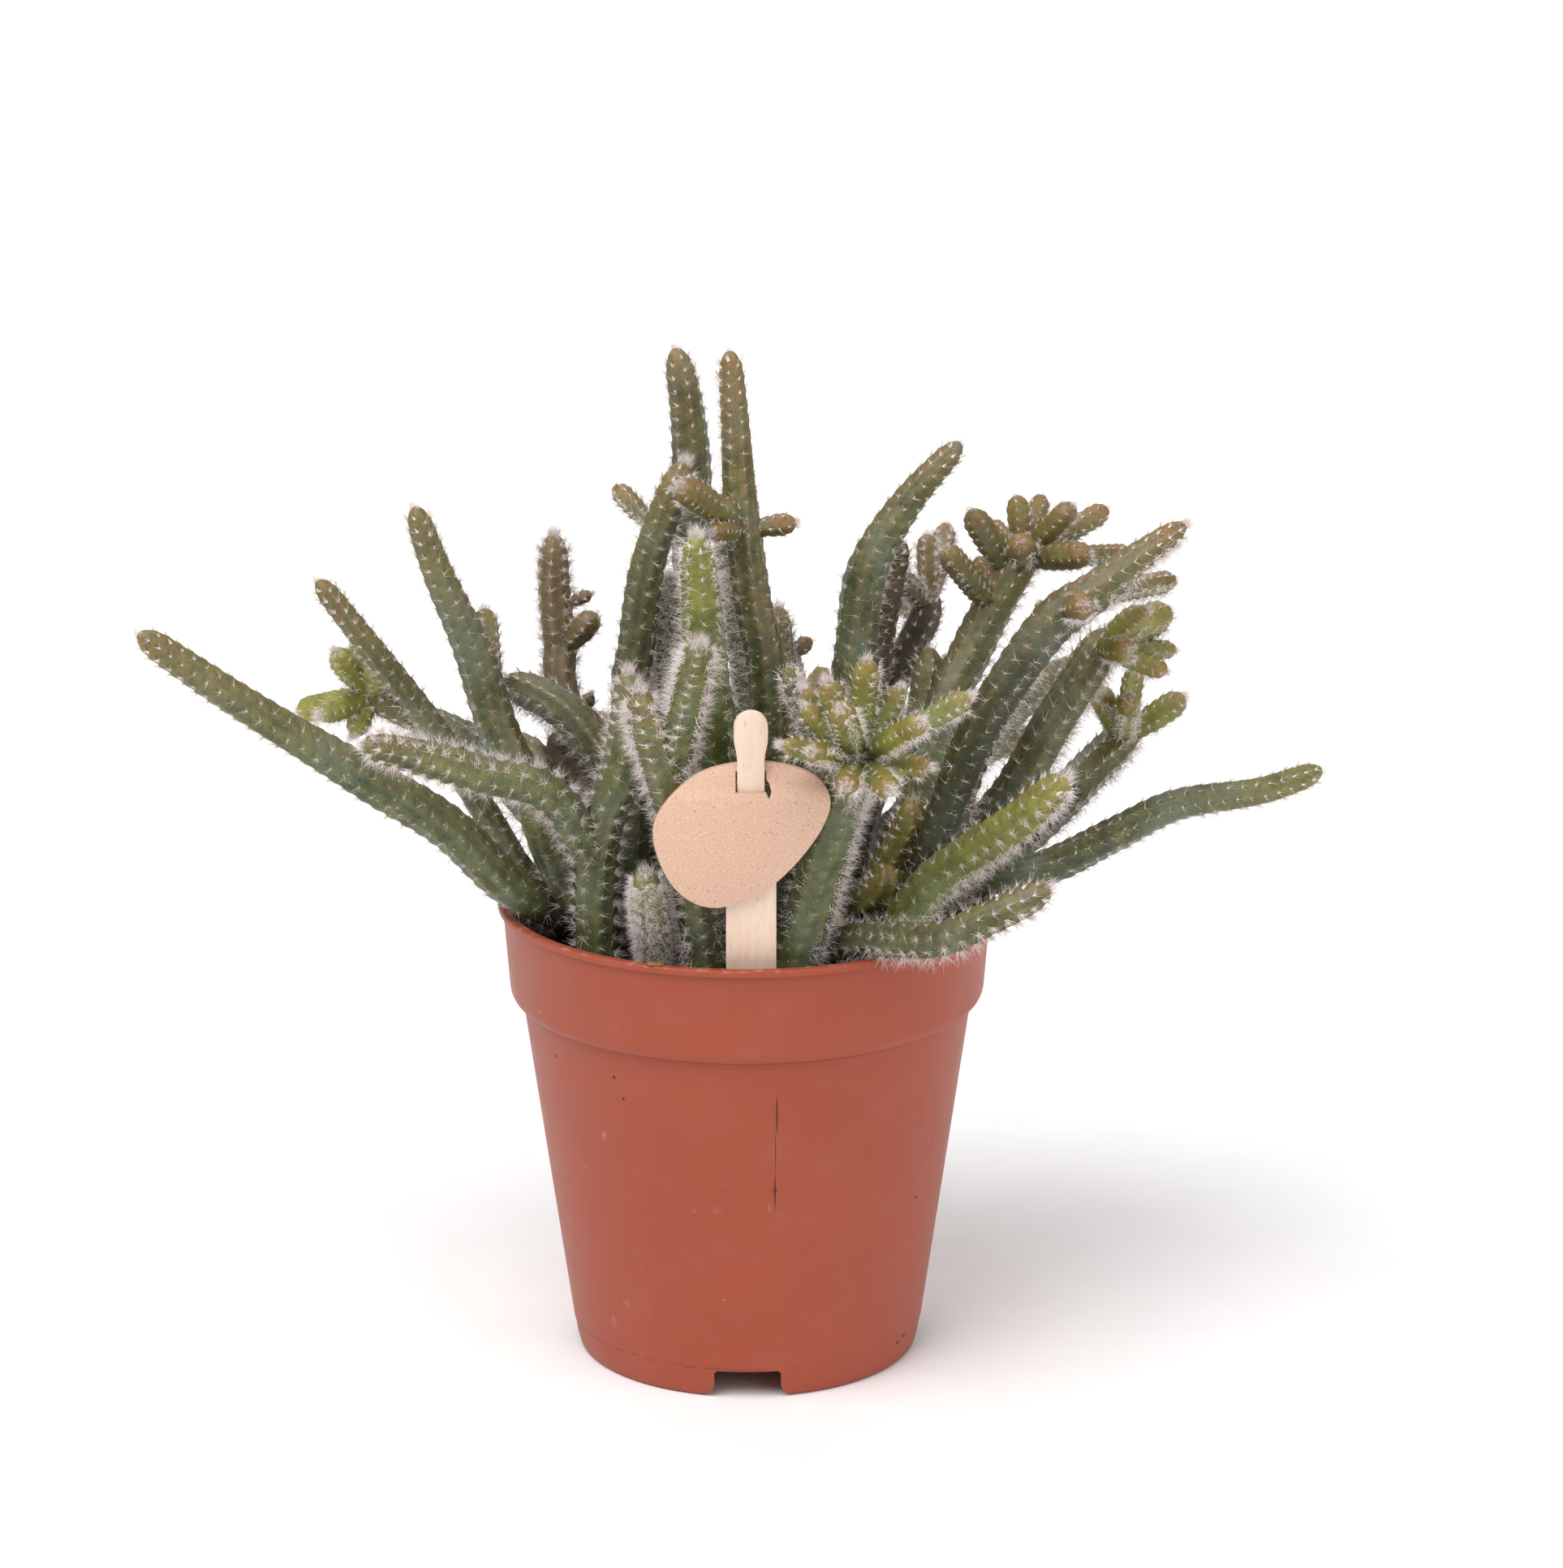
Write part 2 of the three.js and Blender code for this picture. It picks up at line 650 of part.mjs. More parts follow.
// The closed surface of one limb. bristleTip says where the bristle of an areole ends, or nothing.
function limbGeometry({ stations, ribs }, bristleTip) {
  const last = stations.length - 1;
  const { ring, top } = domeStations(stations[last]);
  const circles = ringPoints([...stations, ring], ribs);
  const surface = new Surface();
  const crowded = ribs === RIBS ? last : last + 1;
  // The face beside an areole. Half of the areoles bear a bristle, and all of them at the tip of a stem.
  const areoleFace = (rib, k, areole, a, b) => {
    const bears = k > 0 && (k >= crowded || (Math.floor(rib / 2) + k) % 2 === 0);
    const tip = bears ? bristleTip(areole, stations[k]) : null;
    if (tip) surface.addWithBristle(areole, a, b, tip);
    else surface.add(areole, a, b);
  };
  for (let k = 0; k <= last; k++) {
    const [low, high] = [circles[k], circles[k + 1]];
    const leansLeft = k % 2 === 1;
    for (let j = 0; j < ribs; j++) {
      const next = (j + 1) % ribs;
      if (isRaised(j, k)) {
        if (leansLeft) surface.add(low[j], low[next], high[j]);
        else areoleFace(j, k, low[j], low[next], high[j]);
        surface.add(high[next], high[j], low[next]);
      } else {
        if (leansLeft) areoleFace(next, k, low[next], high[next], low[j]);
        else surface.add(low[next], high[next], low[j]);
        surface.add(high[j], low[j], high[next]);
      }
    }
  }
  const first = circles[0];
  const dome = circles[last + 1];
  for (let j = 0; j < ribs; j++) {
    const next = (j + 1) % ribs;
    surface.add(stations[0].centre, first[next], first[j]);
    surface.add(top, dome[j], dome[next]);
  }
  return surface.toGeometry();
}

// A stem as its main limb and the limbs of its shoots.
function stemLimbs({ radii, route, shoots = [] }) {
  const [x, y] = route[0];
  const points = [[x, y, ROOT_Z], ...route];
  const curve = curveThrough(points);
  const highest = 1 - domeShare(curve, points, radii[2]);
  const stations = limbStations(points, radii, RING_STEP);
  for (const foot of stations.slice(0, 2)) {
    foot.along.set(0, 0, 1);
    foot.radius = radii[0];
    foot.straight = true;
  }
  const limbs = [{ stations, ribs: RIBS, radii, points }];
  for (const { at, radii: shootRadii, route: way } of shoots) {
    const base = curve.getPoint(Math.min(at, highest)).toArray();
    const shootPoints = [base, ...way];
    const step = way.length > 1 ? RING_STEP : SHOOT_STEP;
    const ribs = way.length > 1 ? RIBS : SHOOT_RIBS;
    const shootStations = limbStations(shootPoints, shootRadii, step);
    limbs.push({ stations: shootStations, ribs, radii: shootRadii, points: shootPoints });
  }
  return limbs;
}

// Evenly spaced balls along every limb, for keeping bristles out of the neighbours.
function limbBalls(limb) {
  const curve = curveThrough(limb.points);
  const count = Math.max(3, Math.ceil(curve.getLength() / 3));
  return Array.from({ length: count + 1 }, (_, i) => ({
    centre: curve.getPoint(i / count),
    radius: radiusAt(limb.radii, i / count) * (1 + RIB_RISE),
  }));
}

function labelInTheWay(point) {
  const height = point.z - POT.height;
  const front = LABEL.y - height * Math.tan(THREE.MathUtils.degToRad(LABEL.lean));
  const nearPlane = Math.abs(point.y - front) < 3.5;
  return nearPlane && Math.abs(point.x - LABEL.x) < 19 && height < STICK.top + 3;
}

const limbsOf = Object.fromEntries(Object.entries(STEMS).map(([name, stem]) => [name, stemLimbs(stem)]));
const allBalls = Object.values(limbsOf).flatMap((limbs) =>
  limbs.flatMap((limb) => limbBalls(limb).map((ball) => ({ ...ball, limb, limbs }))),
);

// Whether a bristle's end lies in the open air, clear of the pot, the label and the other limbs.
function inTheOpen(tip, limb, limbs) {
  if (tip.z < SOIL.level + 3 || labelInTheWay(tip)) return false;
  if (tip.z < POT.height + 2 && Math.hypot(tip.x, tip.y) > POT.bandFootRadius - 5) return false;
  return allBalls.every((ball) => {
    if (ball.limb === limb) return true;
    const clear = ball.limbs === limbs ? BRISTLE.ownClear : BRISTLE.clear;
    return ball.centre.distanceTo(tip) > ball.radius + clear;
  });
}

// The plain hole that a stem's straight foot stands in.
function rootHole({ radii, route }) {
  const [x, y, z] = route[0];
  const radius = radii[0] + GAP / Math.cos(Math.PI / RIBS);
  const height = z + 5 - (ROOT_Z - GAP);
  const hole = new THREE.CylinderGeometry(radius, radius, height, RIBS).rotateX(Math.PI / 2);
  return hole.translate(x, y, ROOT_Z - GAP + height / 2);
}

function stemGeometry(name, seed) {
  const random = randomFrom(seed);
  const limbs = limbsOf[name];
  const bristleOn = (limb) => (areole, station) => {
    const outward = areole.clone().sub(station.centre).normalize();
    const lean = 0.45 + 0.5 * random();
    const sideways = new THREE.Vector3().crossVectors(outward, station.along).multiplyScalar(random() - 0.5);
    const way = outward.addScaledVector(station.along, lean).add(sideways).normalize();
    const tip = areole.clone().addScaledVector(way, BRISTLE.length * (0.8 + 0.4 * random()));
    return inTheOpen(tip, limb, limbs) ? tip : null;
  };
  return toGeometry(join(limbs.map((limb) => limbGeometry(limb, bristleOn(limb)))));
}

// Assembly

const matter = {
  plastic: new THREE.MeshStandardMaterial({ color: "#b25f4a", roughness: 0.5, metalness: 0 }),
  earth: new THREE.MeshStandardMaterial({ color: "#2b211c", roughness: 1, metalness: 0 }),
  birch: new THREE.MeshStandardMaterial({ color: "#ebcba9", roughness: 0.75, metalness: 0 }),
  kraft: new THREE.MeshStandardMaterial({ color: "#cfa07f", roughness: 0.9, metalness: 0 }),
};

function addMesh(parent, name, geometry, material) {
  const mesh = new THREE.Mesh(geometry, material);
  mesh.name = name;
  parent.add(mesh);
  return mesh;
}

const plant = new THREE.Group();

addMesh(plant, "pot", potGeometry(), matter.plastic);

const label = placeLabel(new THREE.Group());
addMesh(label, "label_stick", plate(stickShape(), STICK.thick), matter.birch);
addMesh(label, "tag", tagGeometry(), matter.kraft);
plant.add(label);

label.updateMatrixWorld(true);
const holes = Object.values(STEMS).map(rootHole);
holes.push(plate(stickShape(GAP), STICK.thick + 2 * GAP).applyMatrix4(label.matrixWorld));
addMesh(plant, "soil", soilGeometry(holes), matter.earth);

Object.keys(STEMS).forEach((name, index) => {
  const flesh = new THREE.MeshStandardMaterial({
    color: STEM_COLOURS[name] ?? "#6a7448",
    roughness: 0.65,
    metalness: 0,
  });
  addMesh(plant, name, stemGeometry(name, index + 1), flesh);
});

export default plant;
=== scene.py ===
# %% [markdown]
# # A bristly cactus in a grower's pot
#
# The object is a young bristly mistletoe cactus: a clump of ribbed, pencil-thick stems in a 9 cm plastic pot,
# with a bare tag on a wooden stick. The frame already holds every piece as a plain solid at its real size.
# Here each piece gets its finish: fine ribs, knobs and thousands of bristles on the stems, crumbly soil,
# worn plastic, grained wood and speckled board. We build in metres and think in millimetres.

# %% Load the frame
import math

import bmesh
import bpy
import numpy as np
from mathutils import Euler, Matrix, Vector


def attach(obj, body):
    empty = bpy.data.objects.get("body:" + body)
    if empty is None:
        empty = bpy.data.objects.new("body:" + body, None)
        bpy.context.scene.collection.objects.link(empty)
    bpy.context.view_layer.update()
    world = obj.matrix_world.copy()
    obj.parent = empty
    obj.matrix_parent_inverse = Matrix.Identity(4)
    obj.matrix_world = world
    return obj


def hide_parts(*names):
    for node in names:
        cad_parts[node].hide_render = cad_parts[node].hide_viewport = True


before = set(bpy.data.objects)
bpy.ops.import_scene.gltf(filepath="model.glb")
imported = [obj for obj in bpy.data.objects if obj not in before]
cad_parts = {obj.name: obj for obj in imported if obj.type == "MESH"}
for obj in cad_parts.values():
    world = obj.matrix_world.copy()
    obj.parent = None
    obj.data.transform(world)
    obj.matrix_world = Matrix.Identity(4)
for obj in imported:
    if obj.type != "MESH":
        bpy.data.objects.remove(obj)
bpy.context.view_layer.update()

MM = 0.001  # metres in a millimetre
print("solids to dress:", len(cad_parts))

# %% [markdown]
# ## Camera
#
# The plant was photographed from a little above with a long lens, so its upright stems stay parallel. A
# camera can be aimed by hand or worked out from known sizes. Here the pot's rim and foot, whose sizes are
# known, gave the distance and the height, and the camera is turned a little upwards so that the plant sits
# low in the frame.

# %% Place the camera
EYE = Vector((1.6, -936.5, 372.8)) * MM
LOOK = Vector((0.0049, 0.96222, -0.27223))  # the way the camera faces
LENS = 121.9  # millimetres, for a 36 mm sensor

camera = bpy.data.objects.new("camera", bpy.data.cameras.new("camera"))
camera.data.lens = LENS
camera.data.sensor_width = 36
camera.data.clip_start = 0.05
camera.location = EYE
camera.rotation_euler = LOOK.to_track_quat("-Z", "Y").to_euler()
bpy.context.scene.collection.objects.link(camera)
bpy.context.scene.camera = camera
print("camera is", round(EYE.length / MM), "mm from the foot of the pot")

# %% [markdown]
# ## Helpers for nodes and colours
#
# Materials and Geometry Nodes are both trees of nodes. Every node could be added with all its settings each
# time. One small function does it instead, where an input is either a number or the output that feeds it, and
# the five commonest kinds of node get short names. Colours are written as the sRGB hex values of a paint
# chart, and the shader wants linear light, so one function turns them.

# %% Add a node, mix a colour
def add(tree, kind, settings=None, inputs=None):
    """A new node. Settings are its own options; inputs are plain values or the outputs that feed it."""
    node = tree.nodes.new(kind)
    for name, value in (settings or {}).items():
        setattr(node, name, value)
    for key, value in (inputs or {}).items():
        if isinstance(key, int):
            socket = node.inputs[key]
        else:
            socket = next(each for each in node.inputs if each.enabled and each.name == key)
        if isinstance(value, bpy.types.Node):
            value = next(out for out in value.outputs if out.enabled)
        if isinstance(value, bpy.types.NodeSocket):
            tree.links.new(value, socket)
        else:
            socket.default_value = value
    return node


def colour(hex_value, alpha=1.0):
    """An sRGB hex colour as linear light."""
    parts = [int(hex_value[i : i + 2], 16) / 255 for i in (1, 3, 5)]
    return (*(c / 12.92 if c <= 0.04045 else ((c + 0.055) / 1.055) ** 2.4 for c in parts), alpha)


print("white is", colour("#ffffff")[:3])

# %% Short names for the commonest nodes
def maths(tree, operation, *numbers, clamp=False):
    """Arithmetic on one to three numbers."""
    settings = {"operation": operation, "use_clamp": clamp}
    return add(tree, "ShaderNodeMath", settings, dict(enumerate(numbers)))


def vectors(tree, operation, *places, **more):
    """Arithmetic on places and directions."""
    inputs = dict(enumerate(places)) | more
    return add(tree, "ShaderNodeVectorMath", {"operation": operation}, inputs)


def remap(tree, value, span=(0.0, 1.0), onto=(0.0, 1.0)):
    """A value stretched from one range onto another, and held within it."""
    ends = {"From Min": span[0], "From Max": span[1], "To Min": onto[0], "To Max": onto[1]}
    return add(tree, "ShaderNodeMapRange", None, {"Value": value} | ends)


def blend(tree, share, first, second):
    """The first colour at a share of 0, the second at 1, and a mix between."""
    return add(tree, "ShaderNodeMix", {"data_type": "RGBA"}, {0: share, 6: first, 7: second})


def noise(tree, place, scale, detail, **more):
    """Smooth random values from 0 to 1, read at a place."""
    return add(tree, "ShaderNodeTexNoise", None, {"Vector": place, "Scale": scale, "Detail": detail} | more)

# %% [markdown]
# ## Floor and light
#
# A pale floor that runs to the horizon serves as the backdrop too. Studio softboxes could be area lights, but
# their light falls off with distance and would leave the floor patchy. Suns with a wide angle give the same
# soft shadows and light every part of the floor alike.

# %% Lay the floor and hang the lights
def studio_floor():
    """A large pale matt sheet, a hair below the pot's foot."""
    mesh = bpy.data.meshes.new("floor")
    side, drop = 6.0, -0.05 * MM
    corners = [(-side, -side, drop), (side, -side, drop), (side, side, drop), (-side, side, drop)]
    mesh.from_pydata(corners, [], [(0, 1, 2, 3)])
    floor = bpy.data.objects.new("floor", mesh)
    paper = bpy.data.materials.new("matt_backdrop_paper")
    paper.use_nodes = True
    shader = paper.node_tree.nodes["Principled BSDF"]
    fibres = add(paper.node_tree, "ShaderNodeTexNoise", None, {"Scale": 900.0, "Detail": 2.0})
    tone = blend(paper.node_tree, fibres, colour("#f6f5f4"), colour("#fbfaf9"))
    paper.node_tree.links.new(tone.outputs[2], shader.inputs["Base Color"])
    shader.inputs["Roughness"].default_value = 0.95
    shader.inputs["Specular IOR Level"].default_value = 0.1
    mesh.materials.append(paper)
    bpy.context.scene.collection.objects.link(floor)
    return floor


def sun(name, strength, softness, towards):
    """A sun with a wide face, which shines along the direction given."""
    light = bpy.data.objects.new(name, bpy.data.lights.new(name, "SUN"))
    light.data.energy = strength
    light.data.angle = math.radians(softness)
    light.rotation_euler = Vector(towards).to_track_quat("-Z", "Y").to_euler()
    bpy.context.scene.collection.objects.link(light)
    return light


studio_floor()
sun("key_softbox", 2.3, 45, (0.5, 0.6, -1.2))
sun("fill_softbox", 0.9, 60, (-0.8, 0.7, -0.75))
sun("back_softbox", 0.6, 60, (0.1, -0.8, -0.9))

world = bpy.data.worlds.new("studio_air")
world.use_nodes = True
world.node_tree.nodes["Background"].inputs["Color"].default_value = colour("#fdfdff")
world.node_tree.nodes["Background"].inputs["Strength"].default_value = 0.36
bpy.context.scene.world = world
bpy.context.scene.view_settings.view_transform = "Standard"

# %% [markdown]
# ## Turning shapes into pieces
#
# Modifiers and Geometry Nodes describe a shape; the part needs the plain mesh that comes out of them. So
# each piece is evaluated once, its mesh is copied, and the maker's object is thrown away. The piece then
# rides on the part's one body and takes the place of its plain solid.

# %% From a working object to a finished piece
def settle(working, name):
    """The plain mesh that an object and its modifiers give, as a new object. The working object goes."""
    evaluated = working.evaluated_get(bpy.context.evaluated_depsgraph_get())
    mesh = bpy.data.meshes.new_from_object(evaluated)
    mesh.name = name
    bpy.data.objects.remove(working)
    piece = bpy.data.objects.new(name, mesh)
    bpy.context.scene.collection.objects.link(piece)
    return piece


def hand_over(piece, node):
    """The piece rides on the part and stands for its plain solid."""
    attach(piece, "root")
    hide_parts(node)
    faces = piece.data
    faces.calc_loop_triangles()
    triangles_added.append(len(faces.loop_triangles))
    print(piece.name, "has", triangles_added[-1], "triangles")


def material(name):
    """An empty procedural material: its tree and its shader node."""
    made = bpy.data.materials.new(name)
    made.use_nodes = True
    return made, made.node_tree, made.node_tree.nodes["Principled BSDF"]


triangles_added = []

# %% [markdown]
# ## The pot
#
# A grower's pot is injection-moulded: molten polypropylene with a terracotta dye is pressed into a steel
# mould, which leaves one thin shell with softly rounded corners. Such a round thing could be a stretched
# cylinder, but its wall, rim band and foot come from one profile, so we draw that profile and spin it about
# the pot's axis.

# %% Draw a profile with soft corners
def soften(corners, steps=4):
    """A line with each corner eased. A corner is (across, up, length that its easing takes up)."""
    line = []
    for i, (x, z, ease) in enumerate(corners):
        corner = np.array([x, z])
        if ease == 0 or i in (0, len(corners) - 1):
            line.append(tuple(corner))
            continue
        start, end = (
            corner + (np.array(other[:2]) - corner) * ease / np.linalg.norm(np.array(other[:2]) - corner)
            for other in (corners[i - 1], corners[i + 1])
        )
        for t in np.linspace(0, 1, steps + 1):
            line.append(tuple((1 - t) ** 2 * start + 2 * t * (1 - t) * corner + t**2 * end))
    return line


def spin(name, profile, sides):
    """A body of revolution about the pot's axis, from (radius, height) in mm. Both ends lie on it."""
    (_, low), *rings, (_, high) = profile
    angles = [2 * math.pi * side / sides for side in range(sides)]
    points = [(r * MM * math.cos(a), r * MM * math.sin(a), z * MM) for r, z in rings for a in angles]
    first, last = len(points), len(points) + 1
    points += [(0, 0, low * MM), (0, 0, high * MM)]
    top_ring = (len(rings) - 1) * sides
    faces = []
    for here in range(sides):
        after = (here + 1) % sides
        faces.append((first, after, here))
        for ring in range(0, top_ring, sides):
            faces.append((ring + here, ring + after, ring + sides + after, ring + sides + here))
        faces.append((top_ring + here, top_ring + after, last))
    mesh = bpy.data.meshes.new(name)
    mesh.from_pydata(points, [], faces)
    made = bpy.data.objects.new(name, mesh)
    bpy.context.scene.collection.objects.link(made)
    return made


RIM_Z = 86.5  # height of the pot's rim
POT_PROFILE = [
    (0, 5.9, 0), (29.8, 5.9, 0.5), (29.8, 0, 0.3), (31.5, 0, 1), (32.4, 3.4, 1.6),
    (41.5, 67.5, 0.2), (43.7, 68.7, 1.7), (45, 85.2, 0.15), (45.9, 85.2, 0.3), (45.9, RIM_Z, 0.5),
    (44, RIM_Z, 0.5), (42.9, 71, 2), (40.5, 68.1, 1.5), (31.9, 6.9, 1), (0, 6.9, 0),
]
pot = spin("pot_shell", soften(POT_PROFILE), 144)
print("pot profile points:", len(soften(POT_PROFILE)))

# %% [markdown]
# ## Notches and drain holes
#
# Water has to get out, so the mould leaves four notches in the foot ring and six holes in the floor. They
# could be modelled face by face. Cutting them with Boolean modifiers is quicker, and gives true,
# round-cornered holes.

# %% Cut the foot and the floor
def plate(name, outline, thickness, middle=0.0):
    """A flat piece: an outline in x and z, in millimetres, with thickness along y."""
    count = len(outline)
    points = [(x * MM, (middle + side * thickness / 2) * MM, z * MM) for side in (-1, 1) for x, z in outline]
    walls = [(i, (i + 1) % count, count + (i + 1) % count, count + i) for i in range(count)]
    mesh = bpy.data.meshes.new(name)
    mesh.from_pydata(points, [], [tuple(range(count)), tuple(reversed(range(count, 2 * count))), *walls])
    shape = bmesh.new()
    shape.from_mesh(mesh)
    bmesh.ops.recalc_face_normals(shape, faces=shape.faces)
    shape.to_mesh(mesh)
    shape.free()
    made = bpy.data.objects.new(name, mesh)
    bpy.context.scene.collection.objects.link(made)
    return made


def cut(target, tool):
    """Takes the tool's shape out of the target."""
    knife = target.modifiers.new("cut", "BOOLEAN")
    knife.operation, knife.solver, knife.object = "DIFFERENCE", "EXACT", tool
    tool.hide_render = True
    return tool


NOTCH = {"half": 6.1, "height": 5.5, "corner": 2.8, "top": 0.5}
flare = [
    (NOTCH["half"] + NOTCH["corner"] * (1 - math.cos(a)), NOTCH["corner"] * (1 - math.sin(a)))
    for a in np.linspace(0, math.pi / 2, 6)
]
right_side = [
    (NOTCH["half"] - NOTCH["top"], NOTCH["height"]), (NOTCH["half"], NOTCH["height"] - NOTCH["top"]),
    *flare, (flare[-1][0], -1),
]
notch_outline = right_side + [(-x, z) for x, z in reversed(right_side)]
tools = []
for quarter in (0, 1):
    tool = plate("notch_tool", notch_outline, 70)
    tool.rotation_euler.z = quarter * math.pi / 2
    tools.append(cut(pot, tool))

HOLES, HOLE_RADIUS, HOLE_RING = 6, 3 * MM, 23
FLOOR_MIDDLE = 6.4  # height of the middle of the pot's floor
drill = bmesh.new()
for i in range(HOLES):
    bit = bmesh.ops.create_cone(
        drill, cap_ends=True, segments=28, radius1=HOLE_RADIUS, radius2=HOLE_RADIUS, depth=4 * MM
    )
    angle = (i + 0.5) * 2 * math.pi / HOLES
    centre = Vector((HOLE_RING * math.cos(angle), HOLE_RING * math.sin(angle), FLOOR_MIDDLE)) * MM
    bmesh.ops.translate(drill, verts=bit["verts"], vec=centre)
drill_mesh = bpy.data.meshes.new("drain_drill")
drill.to_mesh(drill_mesh)
drill.free()
drains = bpy.data.objects.new("drain_drill", drill_mesh)
bpy.context.scene.collection.objects.link(drains)
tools.append(cut(pot, drains))

pot = settle(pot, "moulded_pot")
for tool in tools:
    bpy.data.objects.remove(tool)
pot.data.shade_smooth()
pot.data.set_sharp_from_angle(angle=math.radians(38))
print("cuts made:", len(tools), "faces:", len(pot.data.polygons))

# %% [markdown]
# ## Terracotta-coloured polypropylene
#
# The dyed plastic is satin, neither glossy nor matt, and never quite even: it flowed into the mould, and
# later it was stacked, scratched and splashed. Broad clouds give the uneven dye, tiny light and dark specks
# are grit, a pale haze sits on the rim band where pots rub together, and a painted reflection pales the
# left side. A broken dark line runs round the foot, a painted shade line lies under the band where its
# lower edge hides the wall, and a scratch runs down the front. Such a mark could be painted by hand. Here
# each is an oval spot with soft edges, given by its middle and its size in millimetres, so it stays sharp
# however close the camera comes.

# %% Mix the pot's plastic
def oval(tree, place, middle, size, softness=0.4):
    """How far inside an oval spot a point lies: 1 in the middle, 0 beyond its edge."""
    off = vectors(tree, "SUBTRACT", place, Vector(middle) * MM)
    scaled = vectors(tree, "DIVIDE", off, Vector(size) * MM)
    far = vectors(tree, "LENGTH", scaled).outputs["Value"]
    return add(tree, "ShaderNodeMapRange", {"interpolation_type": "SMOOTHSTEP"},
               {"Value": far, "From Min": 1.0, "From Max": 1 - softness, "To Min": 0.0, "To Max": 1.0})


def most(tree, factors):
    """The largest of several factors."""
    largest = factors[0]
    for factor in factors[1:]:
        largest = maths(tree, "MAXIMUM", largest, factor)
    return largest


